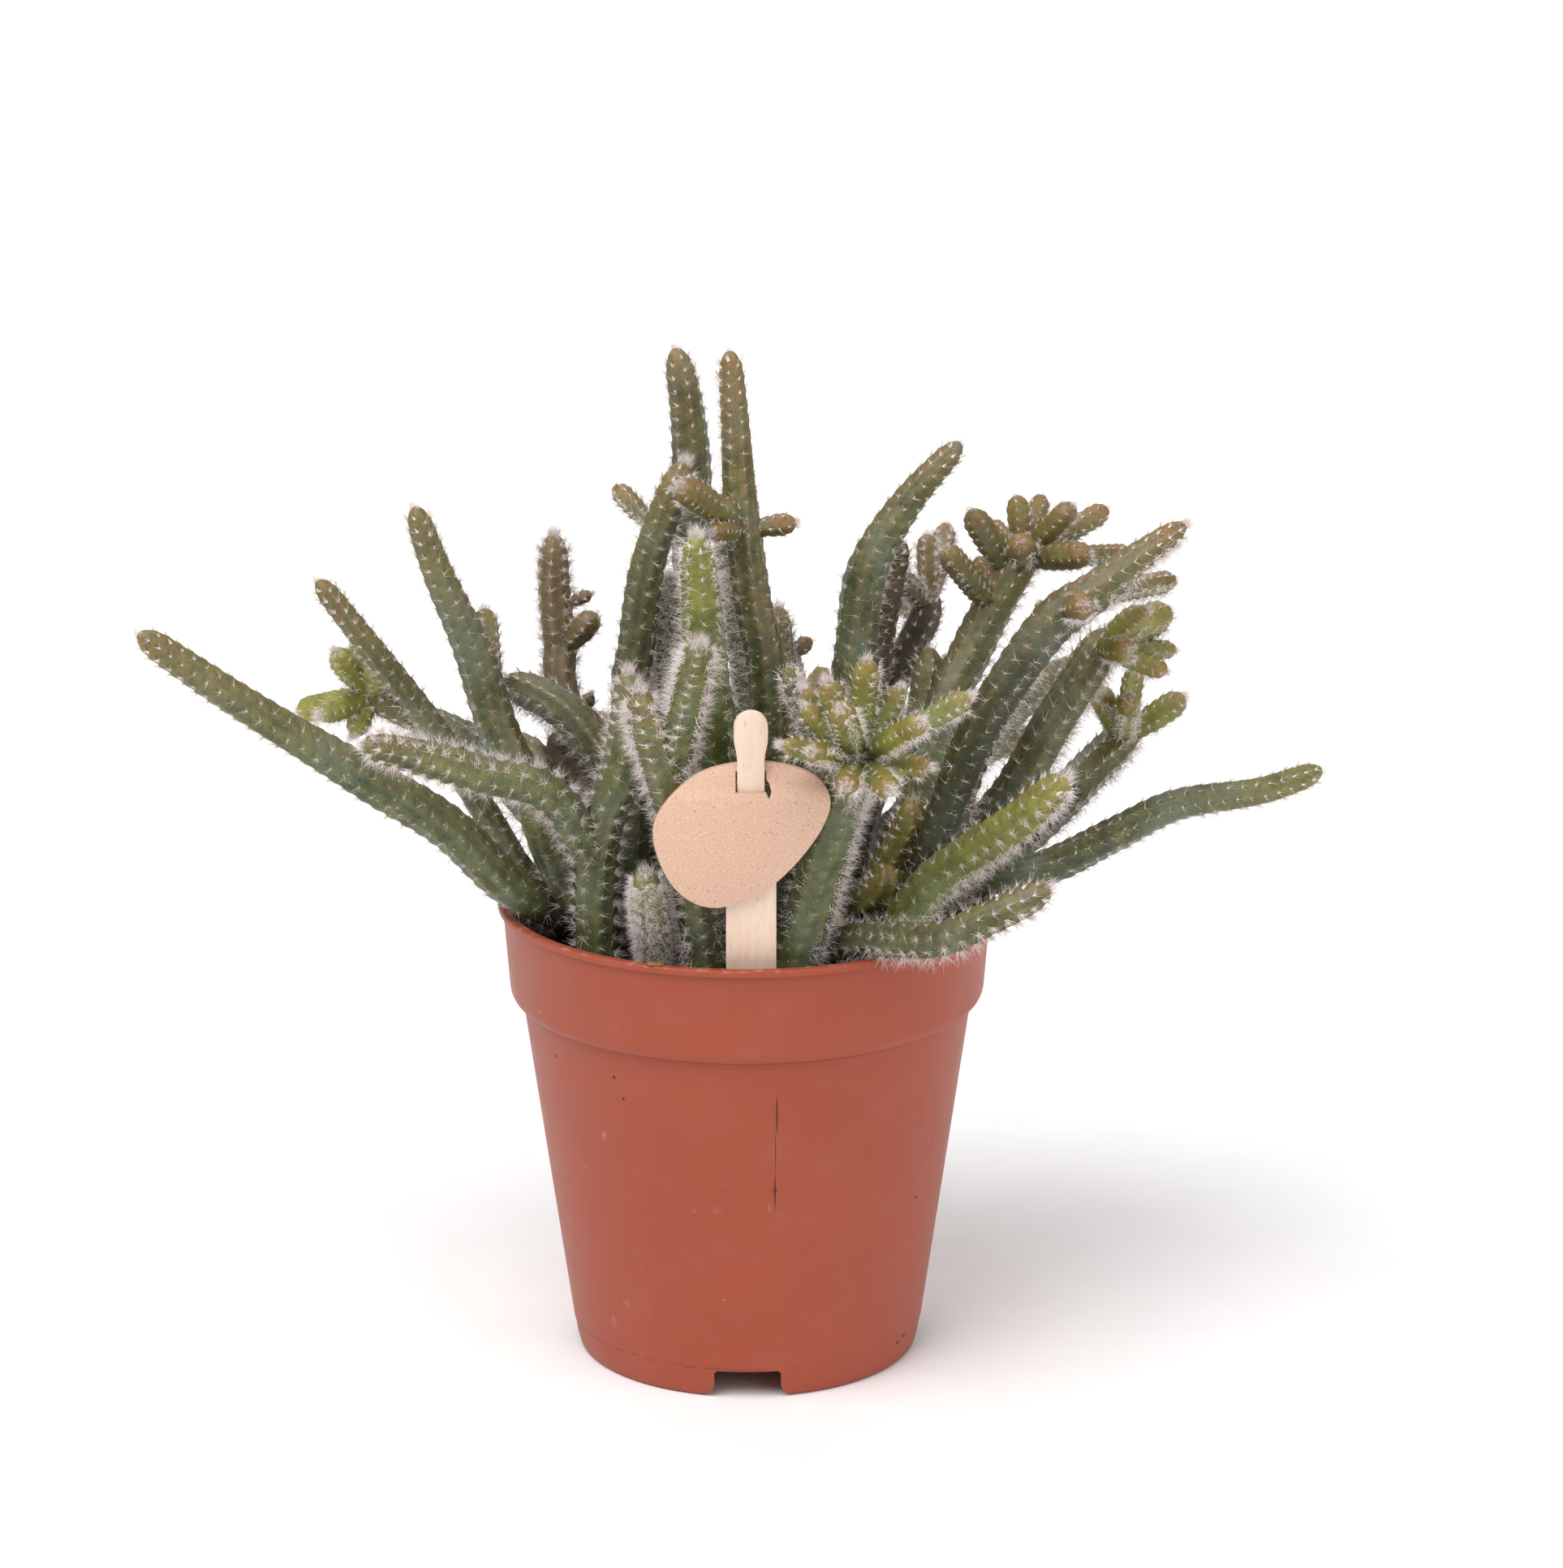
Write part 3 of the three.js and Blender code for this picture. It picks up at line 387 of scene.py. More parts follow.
def pot_plastic():
    made, tree, shader = material("moulded_polypropylene_terracotta")
    place = add(tree, "ShaderNodeTexCoord").outputs["Object"]
    axes = add(tree, "ShaderNodeSeparateXYZ", None, {0: place})
    clouds = noise(tree, place, 30.0, 3.0)
    dye = blend(tree, clouds, colour("#9b4730"), colour("#a64f38"))
    # Haze: thin grey rubbing, and on the left a painted reflection that pales the plastic.
    rubbing = noise(tree, place, 120.0, 6.0, Roughness=0.7)
    rub_haze_and_reflection = remap(tree, rubbing, (0.5, 0.8), (0.0, 0.16))
    painted_reflection_left = remap(tree, axes.outputs["X"], (-25 * MM, -45 * MM), (0.0, 0.12))
    rub_haze_and_reflection = maths(tree, "ADD", rub_haze_and_reflection, painted_reflection_left)
    surface = blend(tree, rub_haze_and_reflection, dye, colour("#a97668"))
    # The lip's edge is worn pale in a few faint chips about 1 mm long.
    on_lip = add(tree, "ShaderNodeMapRange", {"interpolation_type": "SMOOTHSTEP"},
                 {"Value": axes.outputs["Z"], "From Min": 85.9 * MM, "From Max": 86.3 * MM})
    chips = noise(tree, place, 420.0, 4.0)
    chipped = remap(tree, chips, (0.54, 0.66), (0.0, 0.4))
    worn = maths(tree, "MULTIPLY", on_lip, chipped)
    surface = blend(tree, worn, surface, colour("#c68f7c"))
    # Grit: a cell of 4 mm holds one speck 0.3 mm wide, and only some cells show theirs.
    cells = add(tree, "ShaderNodeTexVoronoi", None, {"Vector": place, "Scale": 240.0})
    speck = remap(tree, cells, (0.026, 0.042), (0.8, 0.0))
    lot = add(tree, "ShaderNodeSeparateColor", None, {0: cells.outputs["Color"]})
    for draw, threshold, tint in ((lot.outputs[0], 0.86, "#dcb8a8"), (lot.outputs[1], 0.9, "#5a2a20")):
        drawn = maths(tree, "GREATER_THAN", draw, threshold)
        shows = maths(tree, "MULTIPLY", drawn, speck)
        surface = blend(tree, shows, surface, colour(tint))
    # A broken dark line round the foot, strongest on the left of the front, and a finer painted shade line
    # under the band, where the band's lower edge hides the wall.
    wobble = noise(tree, place, 160.0, 2.0)
    dashes = remap(tree, chips, (0.4, 0.56), (0.15, 1.0))
    at_left = remap(tree, axes.outputs["X"], (4 * MM, -6 * MM), (0.4, 1.0))
    foot_line_and_band_shade = []
    for height, drift, half, strength in ((5.9, 0.9, 0.3, 0.55), (68.0, 0.1, 0.35, 0.5)):
        middle = maths(tree, "MULTIPLY_ADD", wobble, drift * MM, (height - drift / 2) * MM)
        off = maths(tree, "SUBTRACT", axes.outputs["Z"], middle)
        beside = maths(tree, "ABSOLUTE", off)
        foot_line_and_band_shade.append(remap(tree, beside, (0.0, half * MM), (strength, 0.0)))
    broken = maths(tree, "MULTIPLY", foot_line_and_band_shade[0], dashes)
    foot_line_and_band_shade[0] = maths(tree, "MULTIPLY", broken, at_left)
    # The scratch: a hair-thin line below the band, a gap, and a shorter, deeper cut with a dark nick in it.
    # The last six ovals are dark specks, two at the foot on the right and four on the wall.
    scratch = most(tree, [
        oval(tree, place, middle, size) for middle, size in (
            ((5.35, -40, 57.5), (0.2, 3, 4.6)), ((5.1, -38.5, 50), (0.09, 3, 5)),
            ((5.0, -37.5, 42.4), (0.2, 3, 4.2)), ((5.0, -37.6, 42.5), (0.4, 2, 0.7)),
            ((28.9, -15.4, 5.7), (0.5, 2, 0.4)), ((27.8, -17.2, 5.0), (0.5, 2, 0.4)),
            ((-23.9, -33.1, 62.5), (0.4, 1, 0.4)), ((-22.2, -33.5, 58.6), (0.35, 1, 0.35)),
            ((-34.8, -21.4, 62.6), (0.35, 1, 0.35)), ((30.9, -20.1, 34.7), (0.4, 1, 0.4)),
        )
    ])
    # The line under the band is painted shade; the scratch and the specks are marks in the plastic.
    marks = most(tree, [*foot_line_and_band_shade, scratch])
    surface = blend(tree, marks, surface, colour("#54241b"))
    # Splashes: thin grey-tan stains left by drops, broken up by the rubbing.
    stains = most(tree, [
        oval(tree, place, middle, size, 0.9) for middle, size in (
            ((4.2, -37.2, 39.2), (0.8, 2, 1.7)), ((-25.9, -29.2, 50.2), (0.9, 2, 1.5)),
            ((-8.6, -36.4, 38.2), (2.2, 2, 1.3)), ((-5.6, -36.9, 38.4), (1.2, 2, 1.3)),
            ((-21.7, -26.5, 16.4), (1.6, 3, 1.4)), ((-24.9, -22.4, 11.4), (1.4, 3, 1.6)),
        )
    ])
    patchy = remap(tree, chips, (0.42, 0.6), (0.0, 0.6))
    stained = maths(tree, "MULTIPLY", stains, patchy)
    surface = blend(tree, stained, surface, colour("#a58b77"))
    tree.links.new(surface.outputs[2], shader.inputs["Base Color"])
    sheen_spread = remap(tree, rubbing, (0.3, 0.7), (0.4, 0.52))
    tree.links.new(sheen_spread.outputs[0], shader.inputs["Roughness"])
    shader.inputs["IOR"].default_value = 1.49
    shader.inputs["Specular IOR Level"].default_value = 0.32
    # Moulded skin: a grain of 0.3 mm, only just felt, and the scratch cut into it.
    grain = noise(tree, place, 3000.0, 2.0)
    dent = maths(tree, "MULTIPLY_ADD", scratch, -2.0, grain)
    bump = add(tree, "ShaderNodeBump", None, {"Strength": 0.35, "Distance": 0.03 * MM, "Height": dent})
    tree.links.new(bump.outputs[0], shader.inputs["Normal"])
    return made


pot.data.materials.clear()
pot.data.materials.append(pot_plastic())
hand_over(pot, "pot")

# %% [markdown]
# ## The label: a birch stick and a board tag
#
# The stick is stamped out of birch veneer, so its edges are crisp with a slight ease. The tag is die-cut
# from brown recycled board, and its top is tucked behind the stick's neck through a slot. Both are flat
# outlines given thickness. The tag's outline is a smooth curve through ten chosen points, pressed out of a
# bent strip.

# %% Curves through chosen points
def smooth_curve(points, steps, closed=False):
    """Points along the smooth curve through the ones given, with steps on each span."""
    points = np.array(points, float)
    if closed:
        chain = np.vstack([points[-1:], points, points[:2]])
    else:
        chain = np.vstack([2 * points[0] - points[1], points, 2 * points[-1] - points[-2]])
    line = []
    for before, start, end, after in zip(chain, chain[1:], chain[2:], chain[3:]):
        leave, arrive = (end - before) / 2, (after - start) / 2
        for t in np.arange(steps) / steps:
            line.append(
                (2 * t**3 - 3 * t**2 + 1) * start + (t**3 - 2 * t**2 + t) * leave
                + (3 * t**2 - 2 * t**3) * end + (t**3 - t**2) * arrive
            )
    return np.array(line if closed else [*line, points[-1]])


# %% Shape the stick and the tag
LEAN = math.radians(5)  # the label leans forward
LABEL_FOOT = Vector((0.8, -40, RIM_Z)) * MM
STICK_EDGE = [  # right edge of the stick, from its foot: (across, up from the rim, easing)
    (4.45, -30, 0.4), (4.45, 20, 1.2), (2.4, 25, 1.4), (2.4, 38.9, 1), (3.0, 41.6, 0.9), (3.0, 44.3, 0),
]
BOARD, VENEER = 1.0, 1.2  # how thick the tag and the stick are
head = [(3 * math.cos(a), 44.3 + 3 * math.sin(a)) for a in np.linspace(0, math.pi / 2, 9)]
edge = soften([(0, -30, 0), *STICK_EDGE])[1:] + head[1:-1]
stick = plate("stick_blank", edge + [(0, 47.3)] + [(-x, z) for x, z in reversed(edge)], VENEER)

TAG_OUTLINE = [
    (-17.2, 24.5), (-14.4, 31.5), (-7.5, 36), (2.5, 37.3), (11.2, 35),
    (13.9, 30.5), (10.6, 22.9), (3, 14.7), (-6.5, 11), (-13.6, 14.9),
]
REACH = 1.4  # how far the tag's middle lies before the stick's below the slot, and behind it above
strip_line = soften([(-REACH, 5, 0), (-REACH, 32.4, 1.5), (REACH, 35.8, 1.5), (REACH, 42, 0)], 8)
strip = [(y - BOARD / 2, z) for y, z in strip_line] + [(y + BOARD / 2, z) for y, z in reversed(strip_line)]
tag = plate("tag_strip", strip, 40)
for vertex in tag.data.vertices:  # the strip's side view was drawn in x: turn it to face the front
    x, y, z = vertex.co
    vertex.co = (-y, x, z)
press = plate("tag_press", smooth_curve(TAG_OUTLINE, 16, closed=True), 20)
stamp = tag.modifiers.new("press", "BOOLEAN")
stamp.operation, stamp.solver, stamp.object = "INTERSECT", "EXACT", press
slot_punch = plate("slot_punch", [(-2.7, 32.4), (2.7, 32.4), (2.7, 35.8), (-2.7, 35.8)], 8)
nick = plate("nick_punch", [(2.6, 32.5), (3.2, 31.3), (3.6, 32.6), (3.2, 34.0), (2.6, 34.6)], 8)
tools = [press, cut(tag, slot_punch), cut(tag, nick)]
for piece, ease in ((stick, 0.15), (tag, 0.3)):
    bevel = piece.modifiers.new("eased_edges", "BEVEL")
    bevel.limit_method, bevel.angle_limit = "ANGLE", math.radians(60)
    bevel.width, bevel.segments = ease * MM, 2
print("tag outline points:", 16 * len(TAG_OUTLINE))

# %% Stand the label in its place
def stand_label(working, name):
    """Leans the piece with the label and puts it behind the front rim, with its place in its mesh."""
    piece = settle(working, name)
    turn, lift = math.cos(LEAN), math.sin(LEAN)
    for vertex in piece.data.vertices:
        x, y, z = vertex.co
        vertex.co = Vector((x, y * turn - z * lift, y * lift + z * turn)) + LABEL_FOOT
    piece.data.shade_smooth()
    piece.data.set_sharp_from_angle(angle=math.radians(35))
    return piece


stick = stand_label(stick, "stamped_stick")
tag = stand_label(tag, "blank_tag")
for tool in tools:
    bpy.data.objects.remove(tool)

# %% [markdown]
# ## Birch veneer and kraft board
#
# Birch is pale and even, with fine straight grain along the stick: short brown pores about 0.15 mm wide and
# 3 mm long, and soft bands a millimetre or two across. Noise squeezed across the grain and drawn out along
# it gives both. The board is pressed from brown fibres, so it is speckled with darker and lighter flecks of
# 0.2 to 0.5 mm, and its cut edge is darker than its face, most of all underneath, where little light gets.

# %% Mix the birch and the board
def birch():
    """Bare birch veneer with its grain along the stick."""
    made, tree, shader = material("bare_birch_veneer")
    place = add(tree, "ShaderNodeTexCoord").outputs["Object"]
    along_grain = add(tree, "ShaderNodeMapping", None, {"Vector": place, "Scale": (1.0, 1.0, 0.045)})
    bands = noise(tree, along_grain, 700.0, 4.0, Distortion=0.3)
    wood = blend(tree, bands, colour("#e6c6ab"), colour("#f8e3d2"))
    pores = noise(tree, along_grain, 3800.0, 2.0)
    dark = remap(tree, pores, (0.6, 0.72), (0.0, 0.4))
    wood = blend(tree, dark, wood, colour("#b98a5e"))
    tree.links.new(wood.outputs[2], shader.inputs["Base Color"])
    shader.inputs["Roughness"].default_value = 0.62
    shader.inputs["IOR"].default_value = 1.45
    bump = add(tree, "ShaderNodeBump", None, {"Strength": 0.3, "Distance": 0.05 * MM, "Height": pores})
    tree.links.new(bump.outputs[0], shader.inputs["Normal"])
    return made


def kraft():
    """Uncoated brown board, pressed from fibres."""
    made, tree, shader = material("uncoated_kraft_board")
    place = add(tree, "ShaderNodeTexCoord").outputs["Object"]
    pulp = noise(tree, place, 3600.0, 3.0, Roughness=0.65)
    board = blend(tree, pulp, colour("#b17e60"), colour("#fcdcc6"))
    flecks = add(tree, "ShaderNodeTexVoronoi", None, {"Vector": place, "Scale": 900.0})
    dark = remap(tree, flecks, (0.1, 0.22), (0.5, 0.0))
    chosen = add(tree, "ShaderNodeSeparateColor", None, {0: flecks.outputs["Color"]})
    some = maths(tree, "GREATER_THAN", chosen.outputs[0], 0.72)
    dark = maths(tree, "MULTIPLY", dark, some)
    board = blend(tree, dark, board, colour("#8d6143"))
    # The cut edge, where the wall faces sideways, shows the board's darker inside, and painted shade darkens
    # it further, most of all below.
    facing = add(tree, "ShaderNodeSeparateXYZ", None,
                 {0: add(tree, "ShaderNodeNewGeometry").outputs["True Normal"]})
    turned = maths(tree, "ABSOLUTE", facing.outputs["Y"])
    edge_wall = remap(tree, turned, (0.95, 0.7), (0.0, 0.5))
    # Painted shade: the edge darkens more where it faces down.
    under = remap(tree, facing.outputs["Z"], (0.2, -0.2), (0.3, 1.8))
    edge_wall = maths(tree, "MULTIPLY", edge_wall, under)
    board = blend(tree, edge_wall, board, colour("#7d5039"))
    tree.links.new(board.outputs[2], shader.inputs["Base Color"])
    shader.inputs["Roughness"].default_value = 0.85
    shader.inputs["Specular IOR Level"].default_value = 0.3
    bump = add(tree, "ShaderNodeBump", None, {"Strength": 0.5, "Distance": 0.04 * MM, "Height": pulp})
    tree.links.new(bump.outputs[0], shader.inputs["Normal"])
    return made


for piece, finish, node, slot in (
    (stick, birch(), "label_stick", "birch_wood"), (tag, kraft(), "tag", "kraft_board"),
):
    piece.data.materials.clear()
    piece.data.materials.append(finish)
    hand_over(piece, node)

# %% [markdown]
# ## Potting soil
#
# The pot is filled with peat: dark brown crumbs, with chips of bark and white grains of perlite. The body
# is spun like the pot and hides inside it. Only its top shows, so Geometry Nodes roughen that top and
# scatter three kinds of bits over it. A hand-placed crumb would look better up close, but a scattered one
# can be had by the thousand, and a fixed seed keeps each where it is.

# %% Spin the soil's body
SOIL_TOP = 80.3
top_rings = [(r, SOIL_TOP, 0) for r in np.arange(40, 0, -1.1)]
soil_profile = [
    (0, 7.3, 0), (31.5, 7.3, 1), (40.1, 68.1, 0.5), (42.5, 71, 0.5), (43.1, SOIL_TOP - 0.8, 0.3),
    *top_rings, (0, SOIL_TOP, 0),
]
soil = spin("soil_body", soften(soil_profile), 96)
print("soil faces before the crumbs:", len(soil.data.polygons))

# %% [markdown]
# ## Peat, bark and perlite
#
# Peat is nearly black when damp, with redder fibres; bark chips are tan with dark streaks; perlite is foamed
# glass, white and matt. Each gets a noise at the size of its own grain.

# %% Mix the three finishes
def crumb(name, dark, light, grain_mm, roughness, bump_mm):
    """A matt, grainy finish between two colours, with grains of the size given."""
    made, tree, shader = material(name)
    place = add(tree, "ShaderNodeTexCoord").outputs["Object"]
    grains = noise(tree, place, 1 / (grain_mm * MM), 5.0, Roughness=0.7)
    spread = remap(tree, grains, (0.35, 0.68))
    tint = blend(tree, spread, colour(dark), colour(light))
    tree.links.new(tint.outputs[2], shader.inputs["Base Color"])
    shader.inputs["Roughness"].default_value = roughness
    shader.inputs["Specular IOR Level"].default_value = 0.25
    bump = add(tree, "ShaderNodeBump", None, {"Strength": 0.8, "Distance": bump_mm * MM, "Height": grains})
    tree.links.new(bump.outputs[0], shader.inputs["Normal"])
    return made


peat = crumb("damp_peat", "#120d0a", "#402b1f", 0.9, 0.95, 0.3)
bark = crumb("composted_bark", "#5b3b22", "#b98a58", 0.8, 0.9, 0.15)
perlite = crumb("foamed_perlite", "#cfcac4", "#f6f4f0", 0.5, 0.9, 0.1)

# %% Build the tree that crumbles the soil
def inputs_of(tree, **wanted):
    """Names the tree's inputs, and gives the outputs of its input node by name."""
    tree.interface.new_socket(name="Geometry", in_out="INPUT", socket_type="NodeSocketGeometry")
    tree.interface.new_socket(name="Geometry", in_out="OUTPUT", socket_type="NodeSocketGeometry")
    for name, kind in wanted.items():
        spoken = name.replace("_", " ")
        tree.interface.new_socket(name=spoken, in_out="INPUT", socket_type="NodeSocket" + kind)
    return add(tree, "NodeGroupInput").outputs


def apply_tree(working, tree, **values):
    """Gives the working object the tree, with each input set by its socket's identifier."""
    nodes = working.modifiers.new(tree.name, "NODES")
    nodes.node_group = tree
    for socket in tree.interface.items_tree:
        key = socket.name.replace(" ", "_")
        if socket.in_out == "INPUT" and key in values:
            nodes[socket.identifier] = values[key]


crumbling = bpy.data.node_groups.new("crumbling_soil", "GeometryNodeTree")
given = inputs_of(crumbling, Lump_height="Float", Lump_size="Float", Seed="Int",
                  Peat="Material", Bark="Material", Perlite="Material")
spot = add(crumbling, "GeometryNodeInputPosition")
height = add(crumbling, "ShaderNodeSeparateXYZ", None, {0: spot})
is_top = add(crumbling, "FunctionNodeCompare", {"operation": "GREATER_THAN"},
             {0: height.outputs["Z"], 1: (SOIL_TOP - 0.2) * MM})
per_lump = maths(crumbling, "DIVIDE", 1.0, given["Lump size"])
lumps = noise(crumbling, spot, per_lump, 4.0, Roughness=0.65)
rise = maths(crumbling, "SUBTRACT", lumps, 0.5)
rise = maths(crumbling, "MULTIPLY", rise, given["Lump height"])
lift = add(crumbling, "ShaderNodeCombineXYZ", None, {2: rise})
rough_top = add(crumbling, "GeometryNodeSetPosition", None,
                {"Geometry": given["Geometry"], "Selection": is_top, "Offset": lift})
body = add(crumbling, "GeometryNodeSetMaterial", None, {"Geometry": rough_top, "Material": given["Peat"]})
gathered = add(crumbling, "GeometryNodeJoinGeometry")
crumbling.links.new(body.outputs[0], gathered.inputs[0])
taken = [socket.name for socket in crumbling.interface.items_tree if socket.in_out == "INPUT"]
print("tree", crumbling.name, "takes", taken)

# %% Scatter the bits
# Each kind of bit: its finish, how many to a square metre, least and greatest size in mm, and how flat it is.
BITS = [("Peat", 330000, 0.5, 1.6, 0.75), ("Bark", 26000, 0.8, 2.2, 0.35), ("Perlite", 9000, 0.5, 1.1, 0.9)]
for turn, (finish, density, least, greatest, flat) in enumerate(BITS):
    smallest = (least * MM, least * MM, least * flat * MM)
    largest = (greatest * MM, greatest * MM * 0.7, greatest * flat * MM)
    seed = add(crumbling, "FunctionNodeIntegerMath", {"operation": "ADD"}, {0: given["Seed"], 1: turn})
    spots = add(crumbling, "GeometryNodeDistributePointsOnFaces", None,
                {"Mesh": rough_top, "Selection": is_top, "Density": float(density), "Seed": seed})
    lump = add(crumbling, "GeometryNodeMeshIcoSphere", None, {"Radius": 0.5, "Subdivisions": 1})
    size = add(crumbling, "FunctionNodeRandomValue", {"data_type": "FLOAT_VECTOR"},
               {"Min": smallest, "Max": largest, "Seed": seed})
    facing = add(crumbling, "FunctionNodeRandomValue", {"data_type": "FLOAT_VECTOR"},
                 {"Min": (-0.5, -0.5, 0.0), "Max": (0.5, 0.5, 6.28), "Seed": seed})
    turned = add(crumbling, "FunctionNodeEulerToRotation", None, {0: facing})
    placed = add(crumbling, "GeometryNodeInstanceOnPoints", None,
                 {"Points": spots, "Instance": lump, "Rotation": turned, "Scale": size})
    plain = add(crumbling, "GeometryNodeRealizeInstances", None, {"Geometry": placed})
    # Real crumbs aren't round: a noise pushes their corners about.
    where = add(crumbling, "GeometryNodeInputPosition")
    uneven = noise(crumbling, where, 1400.0, 1.0)
    push = vectors(crumbling, "SUBTRACT", uneven.outputs["Color"], (0.5, 0.5, 0.5))
    push = vectors(crumbling, "SCALE", push, Scale=greatest * 0.5 * MM)
    knobbly = add(crumbling, "GeometryNodeSetPosition", None, {"Geometry": plain, "Offset": push})
    named = add(crumbling, "GeometryNodeSetMaterial", None, {"Geometry": knobbly, "Material": given[finish]})
    crumbling.links.new(named.outputs[0], gathered.inputs[0])
whole = add(crumbling, "GeometryNodeRealizeInstances", None, {"Geometry": gathered})
add(crumbling, "NodeGroupOutput", None, {0: whole})

apply_tree(soil, crumbling, Lump_height=3.2 * MM, Lump_size=7 * MM, Seed=3,
           Peat=peat, Bark=bark, Perlite=perlite)
soil = settle(soil, "potting_mix")

# %% [markdown]
# ## Bark on the lip and among the stems
#
# A few tan chips lie on the pot's lip at the front, and dry bark has gathered between the stems. More
# scattered bits could stand for them, but these show clearly, so each heap has its own place: a middle, how
# far it spreads and how many chips it has. Each chip is a ball with few faces, squashed and turned at
# random.

# %% Lay the chips
luck = np.random.default_rng(7)
chips = bmesh.new()
# The middle and the spread, in millimetres, and the number of chips.
HEAPS = [((18.5, -21.0, 81.9), (5.8, 2.4, 0.9), 46), ((-16.2, -42.1, 86.7), (1.6, 0.3, 0.1), 5),
         ((-12.0, -19.0, 81.8), (3.5, 3.5, 0.6), 12), ((-32.0, -22.0, 81.8), (3.0, 3.0, 0.8), 12)]
for middle, spread, count in HEAPS:
    for _ in range(count):
        spot = Vector(np.array(middle) + np.array(spread) * luck.uniform(-1, 1, 3)) * MM
        size = Vector((luck.uniform(0.7, 1.5), luck.uniform(0.4, 0.8), luck.uniform(0.2, 0.45))) * MM
        turn = Euler((luck.uniform(-0.4, 0.4), luck.uniform(-0.4, 0.4), luck.uniform(0, 3.1)))
        form = Matrix.LocRotScale(spot, turn, size)
        bmesh.ops.create_icosphere(chips, subdivisions=1, radius=1.0, matrix=form)
bark_index = list(soil.data.materials).index(bark)
for face in chips.faces:
    face.material_index = bark_index
chips.from_mesh(soil.data)
chips.to_mesh(soil.data)
chips.free()
print("chips laid by hand:", sum(count for *_, count in HEAPS))
hand_over(soil, "soil")
